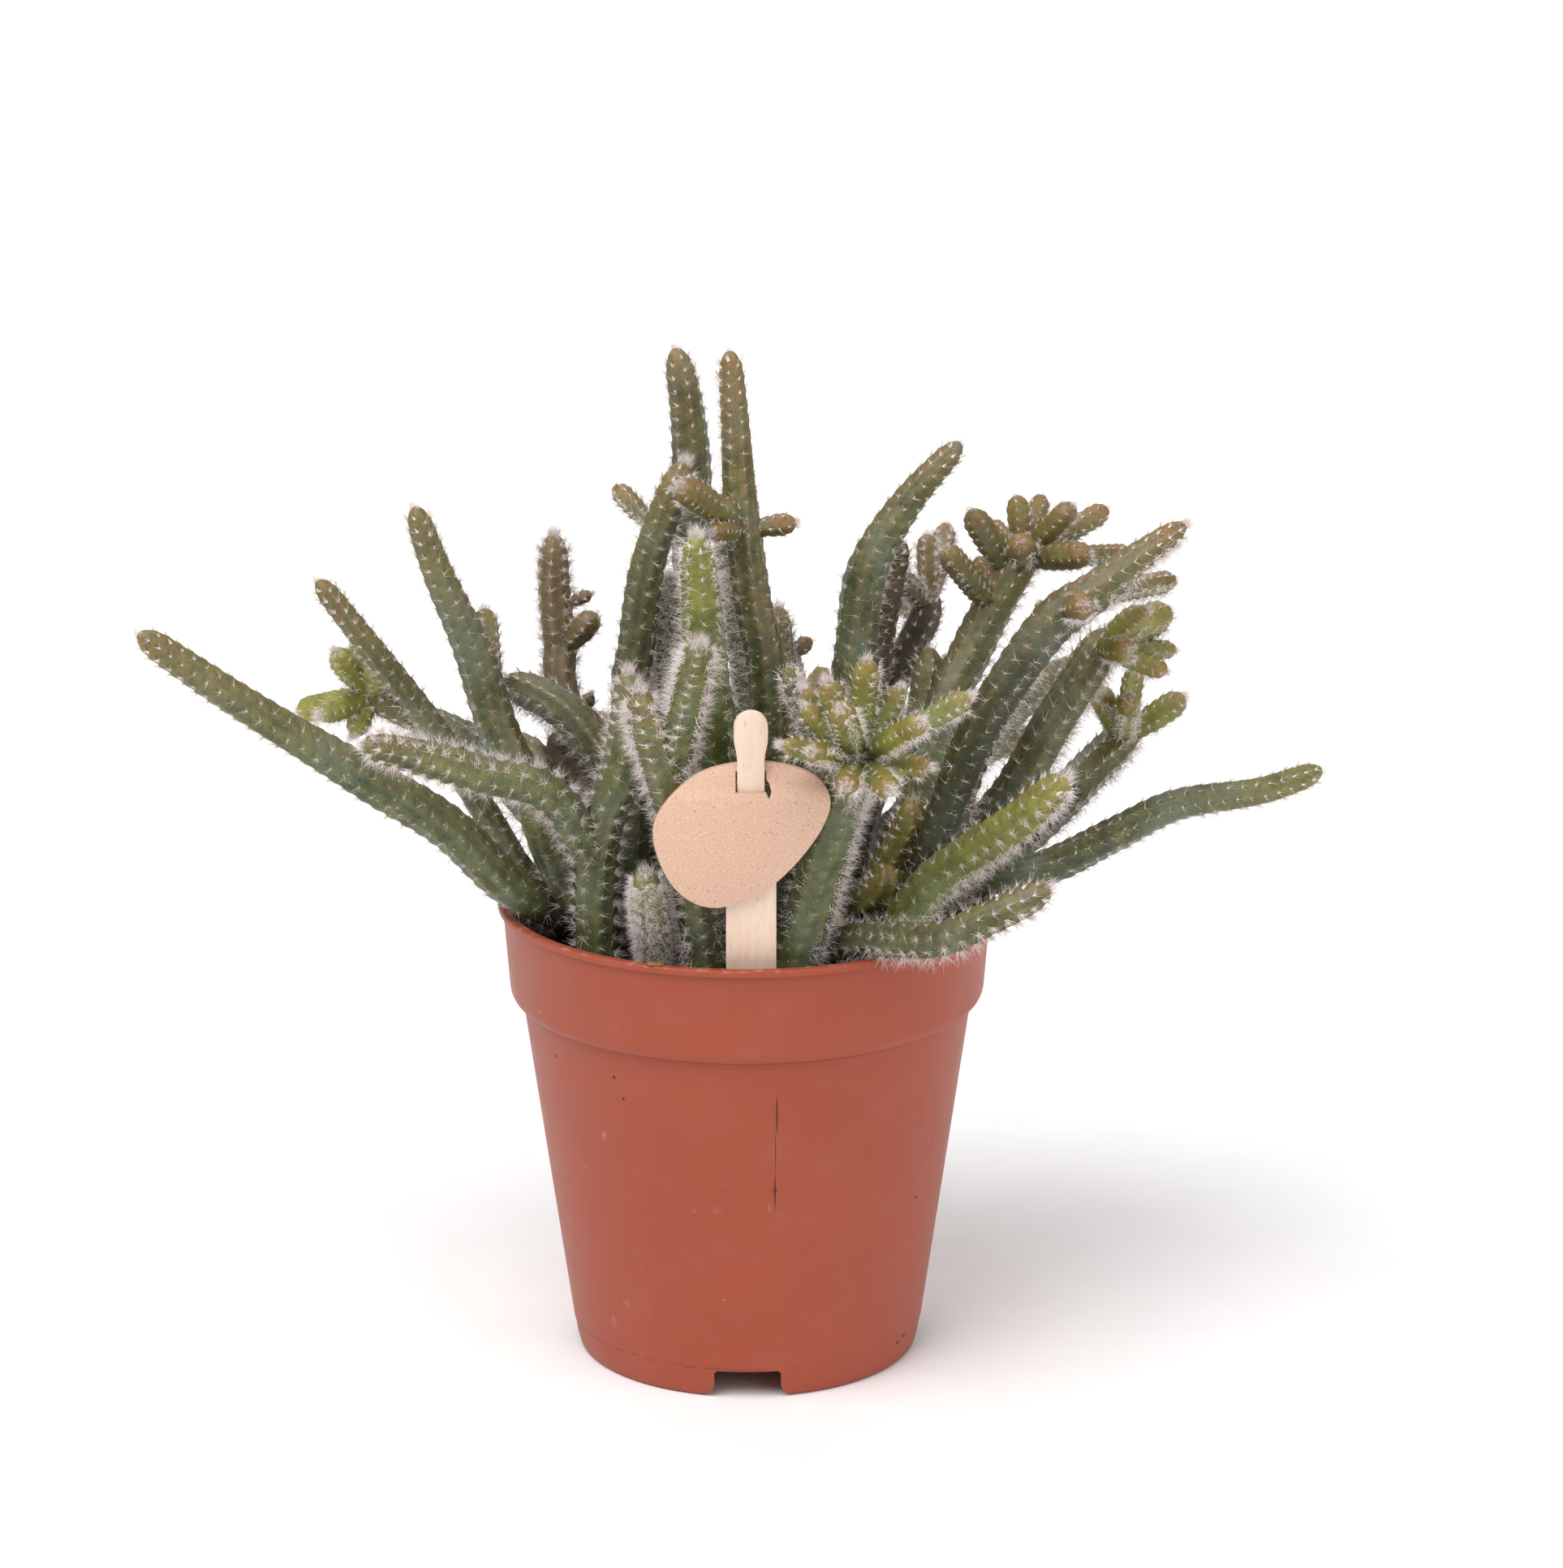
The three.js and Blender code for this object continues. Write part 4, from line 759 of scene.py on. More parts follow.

# %% [markdown]
# ## The stems: where they run
#
# Each stem is a soft round tube with low ribs, which rises from the soil, bends as it likes and forks into
# younger shoots near its end. Its route can't be worked out by a rule, so it is a list of given points, the
# same one that the plain solids follow. Each stem has its radii at the foot, two thirds of the way up and at
# the tip; a shoot leaves its stem at a share of the way and has its own radii and points.

# %% The routes, in millimetres
STEMS = {
    "stem_left_long": {
        "radii": (3.6, 3.8, 2.3),
        "route": [
            (-31, -4, 82), (-43, -15, 93), (-54, -18, 105),
            (-68, -21, 115), (-89, -26, 130), (-107, -30, 144),
        ],
    },
    "stem_left_slanting": {
        "radii": (3, 2.4, 2),
        "route": [
            (-30, 5, 82), (-40, 1, 89), (-48, 4, 101),
            (-58, 10, 116), (-72, 13, 134), (-79, 14, 143),
        ],
    },
    "stem_left_whorled": {
        "radii": (3.2, 2.9, 2.6),
        "route": [
            (-22, 11, 82), (-41, 14, 100), (-47, 20, 108),
            (-55, 25, 111), (-64, 28, 114), (-73, 30, 118),
        ],
        "shoots": [
            (1, (2.4, 2.4, 2.4), [(-73, 33, 129)]),
            (1, (2.3, 2.3, 2.3), [(-68, 20, 128)]),
            (1, (2.3, 2.3, 2.3), [(-77, 24, 127)]),
            (1, (2.5, 2.5, 2.5), [(-85, 36, 112)]),
            (1, (2.2, 2.2, 2.2), [(-80, 22, 115)]),
            (1, (2.2, 2.2, 2.2), [(-74, 26, 110)]),
        ],
    },
    "stem_left_tall": {
        "radii": (3.5, 3.5, 2.2),
        "route": [
            (-26, -13, 82), (-34, -15, 96), (-39, -10, 108), (-45, -4, 119),
            (-50, -1, 134), (-56, 0, 148), (-60, 0, 160),
        ],
        "shoots": [
            (0.61, (2.2, 2.2, 2.2), [(-48, 8, 139)]),
        ],
    },
    "stem_left_front": {
        "radii": (3.6, 3.7, 2.5),
        "route": [
            (-27, -22, 82), (-27, -23, 99), (-25, -24, 110),
            (-22, -24, 117), (-21, -23, 127), (-21, -22, 135),
        ],
        "shoots": [
            (0.35, (3.5, 3.3, 2.4), [(-35, -28, 114), (-46, -30, 118), (-58, -32, 122), (-68, -34, 125)]),
        ],
    },
    "stem_left_bent": {
        "radii": (3.5, 3.6, 3.4),
        "route": [
            (-17, -15, 82), (-21, -12, 96), (-22, -6, 108),
            (-28, 0, 116), (-35, 4, 122), (-45, 9, 125),
        ],
    },
    "stem_left_brown": {
        "radii": (3.3, 3.1, 2.6),
        "route": [(-15, 19, 82), (-33, 22, 115), (-35, 27, 128), (-36, 29, 138), (-36, 30, 148)],
        "shoots": [
            (0.56, (2.4, 2.4, 2.4), [(-28, 24, 134)]),
            (0.71, (1.2, 1.2, 1.2), [(-29, 28, 137)]),
            (0.38, (1.2, 1.2, 1.2), [(-29, 19, 120)]),
        ],
    },
    "stem_left_woolly": {
        "radii": (3.2, 3.6, 3.4),
        "route": [(-21, -2, 82), (-25, 2, 95), (-31, 9, 106), (-36, 13, 114)],
    },
    "stem_centre_tallest": {
        "radii": (3.4, 3.4, 2.5),
        "route": [(-5, 12, 82), (-10, 20, 141), (-10, 23, 160), (-11, 25, 173), (-13, 26, 184)],
    },
    "stem_centre_curved": {
        "radii": (3.3, 3.2, 2.6),
        "route": [(-13, 4, 82), (-21, 3, 120), (-20, 3, 134), (-18, 3, 148), (-14, 4, 160), (-11, 6, 167)],
        "shoots": [
            (0.75, (1.7, 1.7, 1.7), [(-24, 12, 161)]),
        ],
    },
    "stem_centre_slender": {
        "radii": (3.5, 3.2, 2),
        "route": [(4, -9, 82), (4, -9, 127), (1, -4, 144), (-1, 1, 160), (-2, 5, 174), (-3, 8, 187)],
        "shoots": [
            (0.62, (1.9, 1.9, 1.9), [(9, 0, 157)]),
            (0.63, (2.4, 2.4, 2.4), [(-12, -14, 167)]),
            (0.62, (1.7, 1.7, 1.7), [(-6, -12, 158)]),
        ],
    },
    "stem_centre_light": {
        "radii": (3.6, 3.8, 2.7),
        "route": [(-3, -22, 82), (-5, -22, 120), (-7, -21, 133), (-8, -19, 147), (-9, -18, 159)],
    },
    "stem_centre_hairy": {
        "radii": (3.2, 2.8, 2.1),
        "route": [(-9, -9, 82), (-13, 4, 122), (-14, 7, 133), (-14, 8, 145)],
    },
    "stem_centre_woolly": {
        "radii": (2.8, 2.4, 1.9),
        "route": [(0, 2, 82), (0, 6, 124), (-2, 6, 135), (-3, 6, 140), (-4, 6, 145), (-5, 6, 152)],
    },
    "stem_front_forked": {
        "radii": (3.6, 3.7, 3.2),
        "route": [(-7, -31, 82), (-11, -34, 107), (-14, -36, 119), (-17, -36, 128), (-19, -36, 135)],
        "shoots": [
            (0.58, (2.9, 2.9, 2.9), [(-8, -38, 144)]),
        ],
    },
    "stem_front_woolly": {
        "radii": (3.1, 3.3, 3.1),
        "route": [(-16, -29, 82), (-17, -33, 93), (-18, -36, 102)],
    },
    "stem_centre_short": {
        "radii": (3.2, 3, 2.5),
        "route": [(10, -1, 82), (10, 3, 108), (8, 5, 120), (7, 6, 128)],
    },
    "stem_centre_back": {
        "radii": (3.1, 2.8, 2.2),
        "route": [(7, 11, 82), (7, 16, 118), (6, 20, 128), (6, 22, 136)],
        "shoots": [
            (0.68, (1.5, 1.5, 1.5), [(12, 24, 129)]),
        ],
    },
    "stem_right_arching": {
        "radii": (3.6, 3.7, 2),
        "route": [(14, -16, 82), (18, -2, 120), (20, 2, 134), (22, 4, 147), (29, 6, 159), (39, 8, 170)],
    },
    "stem_right_dark": {
        "radii": (2.8, 2.9, 3.1),
        "route": [(18, 4, 82), (25, 21, 109), (28, 28, 121), (33, 32, 130), (35, 34, 136)],
        "shoots": [
            (0.3, (2.2, 2.2, 1.9), [(25, 24, 127), (27, 24, 138), (29, 24, 148)]),
            (1, (1.9, 1.9, 1.9), [(34, 38, 146)]),
            (1, (1.9, 1.9, 1.9), [(38, 46, 146)]),
            (1, (2, 2, 2), [(28, 26, 141)]),
            (0.81, (1.5, 1.5, 1.5), [(28, 40, 133)]),
        ],
    },
    "stem_right_crowned": {
        "radii": (3.5, 3.7, 3.4),
        "route": [(27, -4, 82), (36, 7, 118), (41, 12, 129), (47, 16, 140), (53, 18, 149)],
        "shoots": [
            (0.22, (2.6, 3, 2.6), [(33, 12, 121), (34, 14, 130)]),
            (0.86, (2.3, 2.3, 2.3), [(41, 14, 156)]),
            (1, (2.1, 2.1, 2.1), [(50, 22, 157)]),
            (1, (1.8, 1.8, 1.8), [(55, 30, 155)]),
            (1, (2.2, 2.2, 2.2), [(60, 14, 157)]),
            (1, (1.9, 1.9, 1.9), [(67, 24, 154)]),
            (0.98, (2.4, 2.4, 2.4), [(63, 8, 149)]),
            (1, (1.8, 1.8, 1.8), [(72, 34, 143)]),
            (0.93, (2.6, 2.6, 2.6), [(50, 4, 152)]),
            (0.75, (2.2, 2.2, 2.2), [(36, 4, 151)]),
            (0.79, (1.5, 1.5, 1.5), [(43, 26, 144)]),
            (0.97, (1.3, 1.3, 1.3), [(46, 30, 150)]),
        ],
    },
    "stem_right_leaning": {
        "radii": (3.6, 3.9, 1.8),
        "route": [
            (29, -18, 82), (40, -14, 117), (47, -12, 130), (55, -11, 141),
            (62, -10, 146), (70, -8, 152), (79, -6, 158),
        ],
        "shoots": [
            (0.7, (1.9, 1.9, 1.9), [(78, 5, 145)]),
            (0.56, (1.1, 1.1, 1.1), [(53, -4, 143)]),
            (0.63, (2.4, 2.4, 2.4), [(60, -22, 147)]),
        ],
    },
    "stem_right_branched": {
        "radii": (3.6, 3.8, 3.6),
        "route": [(34, -10, 82), (41, -7, 98), (49, -4, 108), (56, -1, 120), (62, 2, 129), (66, 4, 136)],
        "shoots": [
            (0.97, (2.9, 2.9, 2.9), [(78, 14, 137)]),
            (0.97, (2.4, 2.4, 2.4), [(73, 3, 140)]),
            (1, (1.6, 1.6, 1.6), [(79, 12, 130)]),
            (0.95, (1.9, 1.9, 1.9), [(77, 4, 128)]),
            (0.95, (2.2, 2.2, 2.2), [(69, -8, 135)]),
        ],
    },
    "stem_right_low": {
        "radii": (3.5, 3.7, 3.5),
        "route": [(25, 9, 82), (47, 7, 93), (57, 9, 101), (66, 19, 107), (73, 25, 112)],
        "shoots": [
            (0.97, (2.3, 2.3, 2.3), [(82, 24, 118)]),
            (0.97, (1.9, 1.9, 1.9), [(73, 30, 122)]),
            (0.93, (2.3, 2.3, 2.3), [(65, 12, 122)]),
            (0.95, (2.2, 2.2, 2.2), [(70, 6, 122)]),
        ],
    },
    "stem_right_bright": {
        "radii": (3.5, 3.6, 3.1),
        "route": [(25, -27, 82), (32, -25, 95), (41, -27, 103), (49, -30, 110), (57, -31, 118)],
    },
    "stem_right_long": {
        "radii": (3.4, 3, 2.2),
        "route": [
            (34, 2, 82), (39, -1, 89), (54, -8, 94), (68, 4, 97),
            (80, 13, 100), (96, 19, 101), (108, 23, 104),
        ],
    },
    "stem_right_over_rim": {
        "radii": (3.1, 3, 2.6),
        "route": [(13, -26, 82), (20, -32, 88), (33, -48, 93), (42, -52, 98), (53, -53, 104)],
    },
    "stem_front_star": {
        "radii": (4, 4.1, 4),
        "route": [(8, -33, 82), (12, -34, 97), (14, -36, 106), (17, -39, 117), (20, -49, 128)],
        "shoots": [
            (1, (2, 2, 2), [(10, -46, 135)]),
            (1, (2.1, 2.1, 2.1), [(14, -48, 140)]),
            (1, (2.3, 2.3, 2.3), [(16, -62, 139)]),
            (1, (2.1, 2.1, 2.1), [(21, -48, 144)]),
            (1, (1.9, 1.9, 1.9), [(27, -44, 138)]),
            (1, (2, 2, 2), [(30, -60, 136)]),
            (1, (1.8, 1.8, 1.8), [(39, -47, 137)]),
            (1, (1.9, 1.9, 1.9), [(11, -61, 131)]),
            (1, (1.7, 1.7, 1.7), [(6, -50, 129)]),
            (1, (2, 2, 2), [(17, -62, 125)]),
            (1, (2.1, 2.1, 2.1), [(25, -61, 124)]),
            (1, (1.8, 1.8, 1.8), [(32, -50, 125)]),
            (0.9, (1.5, 1.5, 1.5), [(10, -42, 137)]),
            (0.75, (1.3, 1.5, 1.4), [(10, -37, 130), (7, -39, 140)]),
        ],
    },
    "stem_right_short": {
        "radii": (3.6, 3.8, 3.3),
        "route": [(18, -6, 82), (25, -12, 91), (25, -10, 96)],
        "shoots": [
            (0.45, (2.8, 3.2, 3), [(29, -10, 101), (30, -11, 108)]),
        ],
    },
    "stem_front_sprout": {
        "radii": (2, 2, 1.9),
        "route": [(18, -22, 82), (16, -20, 89)],
        "shoots": [
            (0.5, (1.7, 1.7, 1.7), [(21.5, -26.5, 88)]),
        ],
    },
    "stem_back_left": {
        "radii": (3.5, 3.5, 2.6),
        "route": [(-15, 28, 82), (-19, 41, 95), (-26, 52, 102), (-30, 62, 104)],
    },
    "stem_back_middle": {
        "radii": (3.5, 3.6, 2.7),
        "route": [(1, 33, 82), (-3, 42, 97), (-6, 54, 107), (-8, 63, 112)],
    },
    "stem_back_right": {
        "radii": (3.5, 3.4, 2.5),
        "route": [(11, 30, 82), (20, 41, 94), (30, 53, 103), (36, 62, 108)],
    },
    "stem_back_far_right": {
        "radii": (3.4, 3.4, 2.6),
        "route": [(26, 19, 82), (38, 29, 100), (54, 42, 114), (66, 50, 118)],
    },
    "stem_back_far_left": {
        "radii": (3.4, 3.4, 2.6),
        "route": [(-29, 17, 82), (-40, 27, 98), (-53, 36, 104), (-66, 44, 104)],
    },
    "stem_back_star": {
        "radii": (3.4, 3.4, 3),
        "route": [(8, 20, 82), (9, 41, 104), (11, 50, 110)],
        "shoots": [
            (0.97, (2.1, 2.1, 2.1), [(2, 58, 117)]),
            (0.97, (2.1, 2.1, 2.1), [(15, 62, 113)]),
            (0.97, (2, 2, 2), [(22, 54, 114)]),
            (0.97, (2, 2, 2), [(8, 46, 121)]),
        ],
    },
    "stem_back_upright": {
        "radii": (3.3, 3.2, 2.5),
        "route": [(-7, 22, 82), (-18, 39, 114), (-22, 46, 121)],
    },
    "stem_back_whorled": {
        "radii": (3.4, 3.4, 3.2),
        "route": [(-24, 24, 82), (-41, 39, 102), (-50, 48, 99)],
        "shoots": [
            (1, (2.1, 2.1, 2.1), [(-60, 52, 104)]),
            (1, (2, 2, 2), [(-52, 60, 102)]),
            (1, (2, 2, 2), [(-57, 56, 95)]),
            (1, (1.9, 1.9, 1.9), [(-50, 46, 108)]),
        ],
    },
    "stem_back_low": {
        "radii": (3.3, 3.3, 2.5),
        "route": [(20, 26, 82), (44, 42, 102), (58, 58, 100)],
    },
}
ROOT_Z = 70  # a stem's lower end, hidden in the soil
print("stems:", len(STEMS), "shoots:", sum(len(stem.get("shoots", [])) for stem in STEMS.values()))

# %% [markdown]
# ## How each stem differs
#
# Old stems are smooth and nearly bare, young ones pale and furry; some are dark, some are browning at the
# tip. Each look has six numbers for that: hairs on each areole, their length in millimetres, how light the
# skin is, how olive it is and how brown its tip and its weathered upper side are, all from 0 to 1, and the
# number of hairs in the fluff on the tip. Side shoots are fleshier and balder than their stem, so they have
# a look of their own. Many a stem is shaggy on one side, mostly the shaded one, which is given as a
# direction, a strength and whether the opposite side is shaggy too. Low down the skin darkens, partly as
# old skin does and partly as painted shade, and on stems with much gloom the painted shade ends nearly
# black. A few are dusty: their wool is grey-brown instead of white.

# %% The looks
USUAL_LOOK = (6, 2.3, 0.5, 0.45, 0.4, 80)
LOOKS = {
    "stem_left_long": (5, 2.2, 0.5, 0.45, 0.6, 60),
    "stem_left_slanting": (8, 2.4, 0.5, 0.35, 0.7, 90),
    "stem_left_whorled": (6, 2.4, 0.4, 0.35, 0.3, 80),
    "stem_left_tall": (4, 2.2, 0.5, 0.35, 0.6, 60),
    "stem_left_front": (11, 2.2, 0.5, 0.4, 0.3, 220),
    "stem_left_bent": (5, 2.4, 0.35, 0.3, 0.3, 40),
    "stem_left_brown": (9, 2.2, 0.7, 0.3, 0.9, 260),
    "stem_left_woolly": (20, 2.6, 0.1, 0.3, 0.8, 60),
    "stem_centre_tallest": (5, 2.0, 0.4, 0.2, 0.7, 160),
    "stem_centre_curved": (5, 2.2, 0.45, 0.35, 0.6, 300),
    "stem_centre_slender": (4, 2.0, 0.4, 0.7, 0.9, 60),
    "stem_centre_light": (6, 2.2, 0.6, 0.6, 0.2, 320),
    "stem_centre_hairy": (20, 2.4, 0.7, 0.3, 0.3, 160),
    "stem_centre_woolly": (22, 1.9, 0.5, 0.3, 0.3, 160),
    "stem_front_forked": (10, 2.3, 0.6, 0.35, 0.5, 120),
    "stem_front_woolly": (60, 1.9, 0.9, 0.35, 0.3, 300),
    "stem_centre_short": (12, 2.4, 0.5, 0.4, 0.6, 260),
    "stem_centre_back": (12, 2.4, 0.8, 0.5, 0.5, 160),
    "stem_right_arching": (4, 2.2, 0.5, 0.3, 0.6, 60),
    "stem_right_dark": (5, 1.8, 0.05, 0.3, 0.3, 40),
    "stem_right_crowned": (5, 2.4, 0.6, 0.4, 0.6, 60),
    "stem_right_leaning": (6, 2.4, 0.5, 0.4, 0.7, 160),
    "stem_right_branched": (8, 2.4, 0.45, 0.3, 0.4, 160),
    "stem_right_low": (7, 2.2, 0.4, 0.4, 0.3, 80),
    "stem_right_bright": (8, 2.3, 0.6, 0.75, 0.3, 220),
    "stem_right_long": (5, 2.2, 0.6, 0.75, 0.2, 60),
    "stem_right_over_rim": (9, 2.6, 0.5, 0.3, 0.4, 120),
    "stem_front_star": (15, 2.2, 0.6, 0.3, 0.3, 0),
    "stem_right_short": (5, 1.8, 0.25, 0.5, 0.5, 40),
    "stem_front_sprout": (4, 1.5, 0.2, 0.6, 0.3, 40),
}
USUAL_SHOOT = (4, 1.6, 0.5, 0.7, 0.9, 120)
SHOOT_LOOKS = {
    "stem_left_whorled": (4, 1.6, 0.75, 0.8, 0.3, 240),
    "stem_left_tall": (5, 1.8, 0.6, 0.5, 0.6, 140),
    "stem_left_brown": (5, 1.5, 0.6, 0.6, 0.6, 100),
    "stem_centre_curved": (5, 1.8, 0.6, 0.5, 0.9, 100),
    "stem_centre_slender": (4, 1.6, 0.55, 0.7, 1.0, 160),
    "stem_front_forked": (8, 2.4, 0.55, 0.4, 0.4, 300),
    "stem_centre_back": (2, 1.3, 0.3, 0.6, 1.0, 40),
    "stem_right_dark": (8, 1.6, 0.75, 0.5, 0.7, 160),
    "stem_right_crowned": (3, 1.3, 0.5, 0.7, 1.0, 90),
    "stem_right_leaning": (5, 1.6, 0.55, 0.6, 1.0, 160),
    "stem_right_branched": (4, 1.5, 0.55, 0.8, 0.9, 140),
    "stem_right_low": (4, 1.5, 0.5, 0.9, 0.7, 140),
    "stem_front_star": (5, 1.7, 0.5, 0.8, 0.75, 200),
}
SHAGGY = {
    "stem_left_long": ((0, 0, -1), 1.0, False),
    "stem_left_slanting": ((0.6, 0, -0.8), 1.5, True),
    "stem_left_whorled": ((0, 0, -1), 2.5, False),
    "stem_left_tall": ((1, 0, 0), 1.2, True),
    "stem_left_front": ((-0.7, 0, -0.7), 2.0, True),
    "stem_left_bent": ((-0.5, 0, -0.9), 4.0, False),
    "stem_left_brown": ((1, 0, 0), 1.5, True),
    "stem_centre_tallest": ((1, 0, 0), 1.0, True),
    "stem_centre_curved": ((1, 0, 0), 1.5, True),
    "stem_centre_slender": ((-1, 0, 0), 2.0, False),
    "stem_centre_light": ((1, 0, 0), 3.0, True),
    "stem_centre_hairy": ((-1, 0, 0), 1.5, False),
    "stem_front_forked": ((1, 0, 0), 3.5, True),
    "stem_right_arching": ((1, 0, 0), 1.2, True),
    "stem_right_dark": ((1, 0, 0), 1.5, True),
    "stem_right_crowned": ((0.6, 0, -0.8), 2.0, False),
    "stem_right_leaning": ((0.5, 0, -0.9), 3.5, False),
    "stem_right_branched": ((0.5, 0, -0.9), 4.0, False),
    "stem_right_low": ((0.3, 0, -1), 3.0, False),
    "stem_right_bright": ((0.3, -0.2, -1), 3.0, False),
    "stem_right_long": ((0, 0, -1), 1.2, False),
    "stem_right_over_rim": ((0, -0.3, -1), 1.5, False),
    "stem_front_star": ((0.7, 0, -0.5), 2.5, False),
    "stem_right_short": ((1, 0, 0), 1.0, True),
}
USUAL_SHAG = ((0, 0, -1), 1.0, False)
YOUNG = ("stem_centre_light", "stem_right_bright", "stem_right_short", "stem_front_sprout")
OLD = ("stem_left_brown", "stem_left_woolly", "stem_right_dark")
# Gloom: how much a stem darkens low down, partly as older skin and, past the usual, as painted shade.
USUAL_GLOOM = 0.35
GLOOM = {
    "stem_left_long": 0.1, "stem_left_front": 0.15, "stem_left_whorled": 0.6, "stem_left_bent": 0.7,
    "stem_left_woolly": 1.0, "stem_centre_light": 1.1, "stem_centre_curved": 0.2, "stem_front_star": 0.1,
    "stem_right_short": 0.2, "stem_right_branched": 0.75, "stem_right_low": 0.9, "stem_right_leaning": 0.95,
    "stem_right_long": 0.6, "stem_right_bright": 0.5, "stem_back_low": 0.8,
}
DUSTY = {
    "stem_left_woolly": 0.8, "stem_left_bent": 0.25, "stem_right_branched": 0.2, "stem_front_woolly": 0.1,
}
print("stems with a look of their own:", len(LOOKS), "shaggy ones:", len(SHAGGY))

# %% [markdown]
# ## Rings along a stem
#
# A stem's surface is a row of rings along its route. Areoles, the little cushions that bear the bristles, sit
# on the ribs at every fourth ring, closer together towards the growing tip, so the rings are counted from the
# tip down. Each ring carries what the later steps need to know there: how thick the stem is, how far the tip
# is, how many hairs an areole has and how long they are.

# %% Lay out the rings of a limb
SPAN = 60  # points on each span of a route
SPACING, SHOOT_SPACING = 3.2, 2.4  # from one areole to the next on a rib
LOWEST_RING = 79.5  # height of the lowest ring above a stem's root, just under the soil
BRISTLY, DENSE = 12, 40  # hairs on an areole from which sprays stand open, and past which they cover the skin


def radius_at(radii, share):
    """Radius at a share of the route, from those at the foot, at two thirds and at the tip."""
    return np.interp(share, (0, 0.65, 1), radii)


def ring_distances(length, spacing):
    """How far each ring lies from the tip, for areoles that stand spacing apart on the grown part."""
    distances = [0.04, 0.3]
    while distances[-1] < length:
        grown = 1 - math.exp(-distances[-1] / 14)
        distances.append(distances[-1] + spacing * (0.66 + 0.34 * grown) / 4)
    return distances[:-1]


def lay_rings(points, radii, spacing, look, shaggy, gloom, dust, start=0.0, is_shoot=False):
    """The rings of one limb from its base to its tip, as rows of named values."""
    line = smooth_curve(points, SPAN)
    shares = np.linspace(0, 1, len(line))
    steps = np.linalg.norm(np.diff(line, axis=0), axis=1)
    run = np.concatenate([[0], np.cumsum(steps)])
    hairs, hair_length, tone, olive, blush, fluff = look
    side, strength, both = shaggy
    shag = np.array(side, float) * strength / np.linalg.norm(side)
    rings = []
    for count, far in enumerate(ring_distances(run[-1] - start, spacing)):
        along = run[-1] - far
        spot = np.array([np.interp(along, run, line[:, axis]) for axis in range(3)])
        ahead = np.array([np.interp(along + 0.3, run, line[:, axis]) for axis in range(3)])
        behind = np.array([np.interp(along - 0.3, run, line[:, axis]) for axis in range(3)])
        grow = (ahead - behind) / np.linalg.norm(ahead - behind)
        if start == 0 and spot[2] < LOWEST_RING:
            break
        radius = radius_at(radii, np.interp(along, run, shares))
        dome = (1.5 if is_shoot else 2.3) * radii[2]
        if far < dome:
            radius *= (1 - (1 - far / dome) ** 2.1) ** (1 / 2.1)
        if is_shoot:  # a shoot is pinched where it leaves its stem
            radius *= 0.74 + 0.3 * min(1, max(0, along - 1.5) / 5)
        young = math.exp(-far / 10)
        age = 0.0 if is_shoot else 1 - math.exp(-far / 30)
        # Past the usual gloom, painted shade sets in low down on a stem.
        depth = 0.0 if is_shoot else 1 - math.exp(-(far / 50) ** 2)
        hollow = 0.4 * math.exp(-along / 5) if is_shoot else 0.0  # little light reaches in between the shoots
        cap = 0.45 * min(1, fluff / 220) * math.exp(-((far / 1.3) ** 2))  # wool right on the tip
        bristly, dense = hairs >= BRISTLY, hairs > DENSE
        rings.append({
            "spot": spot, "radius": radius, "ring": count, "twist": 0.012 * along, "grow": grow, "age": age,
            "shade": min(gloom, USUAL_GLOOM) * age + max(gloom - USUAL_GLOOM, 0) * depth + hollow,
            "sunny": 0.3 if is_shoot and olive >= 0.8 else 1.0, "tone": tone, "olive": olive, "blush": blush,
            "ripe": math.exp(-far / (4 if is_shoot else 14)), "knobs": 0.08 if is_shoot else 0.05,
            "hairs": hairs * (1 + 0.6 * young), "length": hair_length * (1 - 0.1 * young),
            "lean": 0.0 if dense else (0.1 if bristly else 0.45) + 0.6 * young,
            "pad": 0.5 if is_shoot else 0.25 + 0.9 * math.exp(-far / 14),
            "wool": max(cap, 0.15 if dense else 0.0), "scatter": 1.0 if bristly else 0.12, "tuft": 0.0,
            "fine": 0.95 if dense else 1 + 0.012 * min(hairs, 20), "both": float(both), "shag": shag,
            "dusty": dust + 0.3 * age,
        })
    if start == 0:
        root = dict(rings[-1], spot=np.array([*points[0][:2], ROOT_Z]), ring=rings[-1]["ring"] + 1)
        root["grow"] = np.array([0.0, 0.0, 1.0])
        rings.append(root)
    return rings[::-1]


def tuft(points, radii, look, dust):
    """The loose white fluff on the very tip of a limb."""
    _, hair_length, tone, olive, blush, fluff = look
    end = np.array(points[-1], float)
    way = end - smooth_curve(points, 20)[-4]
    way /= np.linalg.norm(way)
    side = np.cross(way, (0.3, 0.9, 0.1))
    return {
        "spot": end - way * radii[2] * 0.35, "radius": 1.0, "ring": 0, "twist": 0.0, "out": way,
        "grow": side / np.linalg.norm(side), "age": 0.0, "shade": 0.0, "sunny": 1.0, "pad": 1.0, "wool": 0.0,
        "tone": tone, "olive": olive, "blush": blush, "ripe": 1.0, "knobs": 0.0,
        "hairs": fluff, "length": 0.4 * radii[2] + 0.75 * hair_length, "lean": 0.0,
        "scatter": radii[2] * 0.4, "tuft": 1.0, "fine": 1.1, "both": 0.0, "shag": np.zeros(3), "dusty": dust,
    }


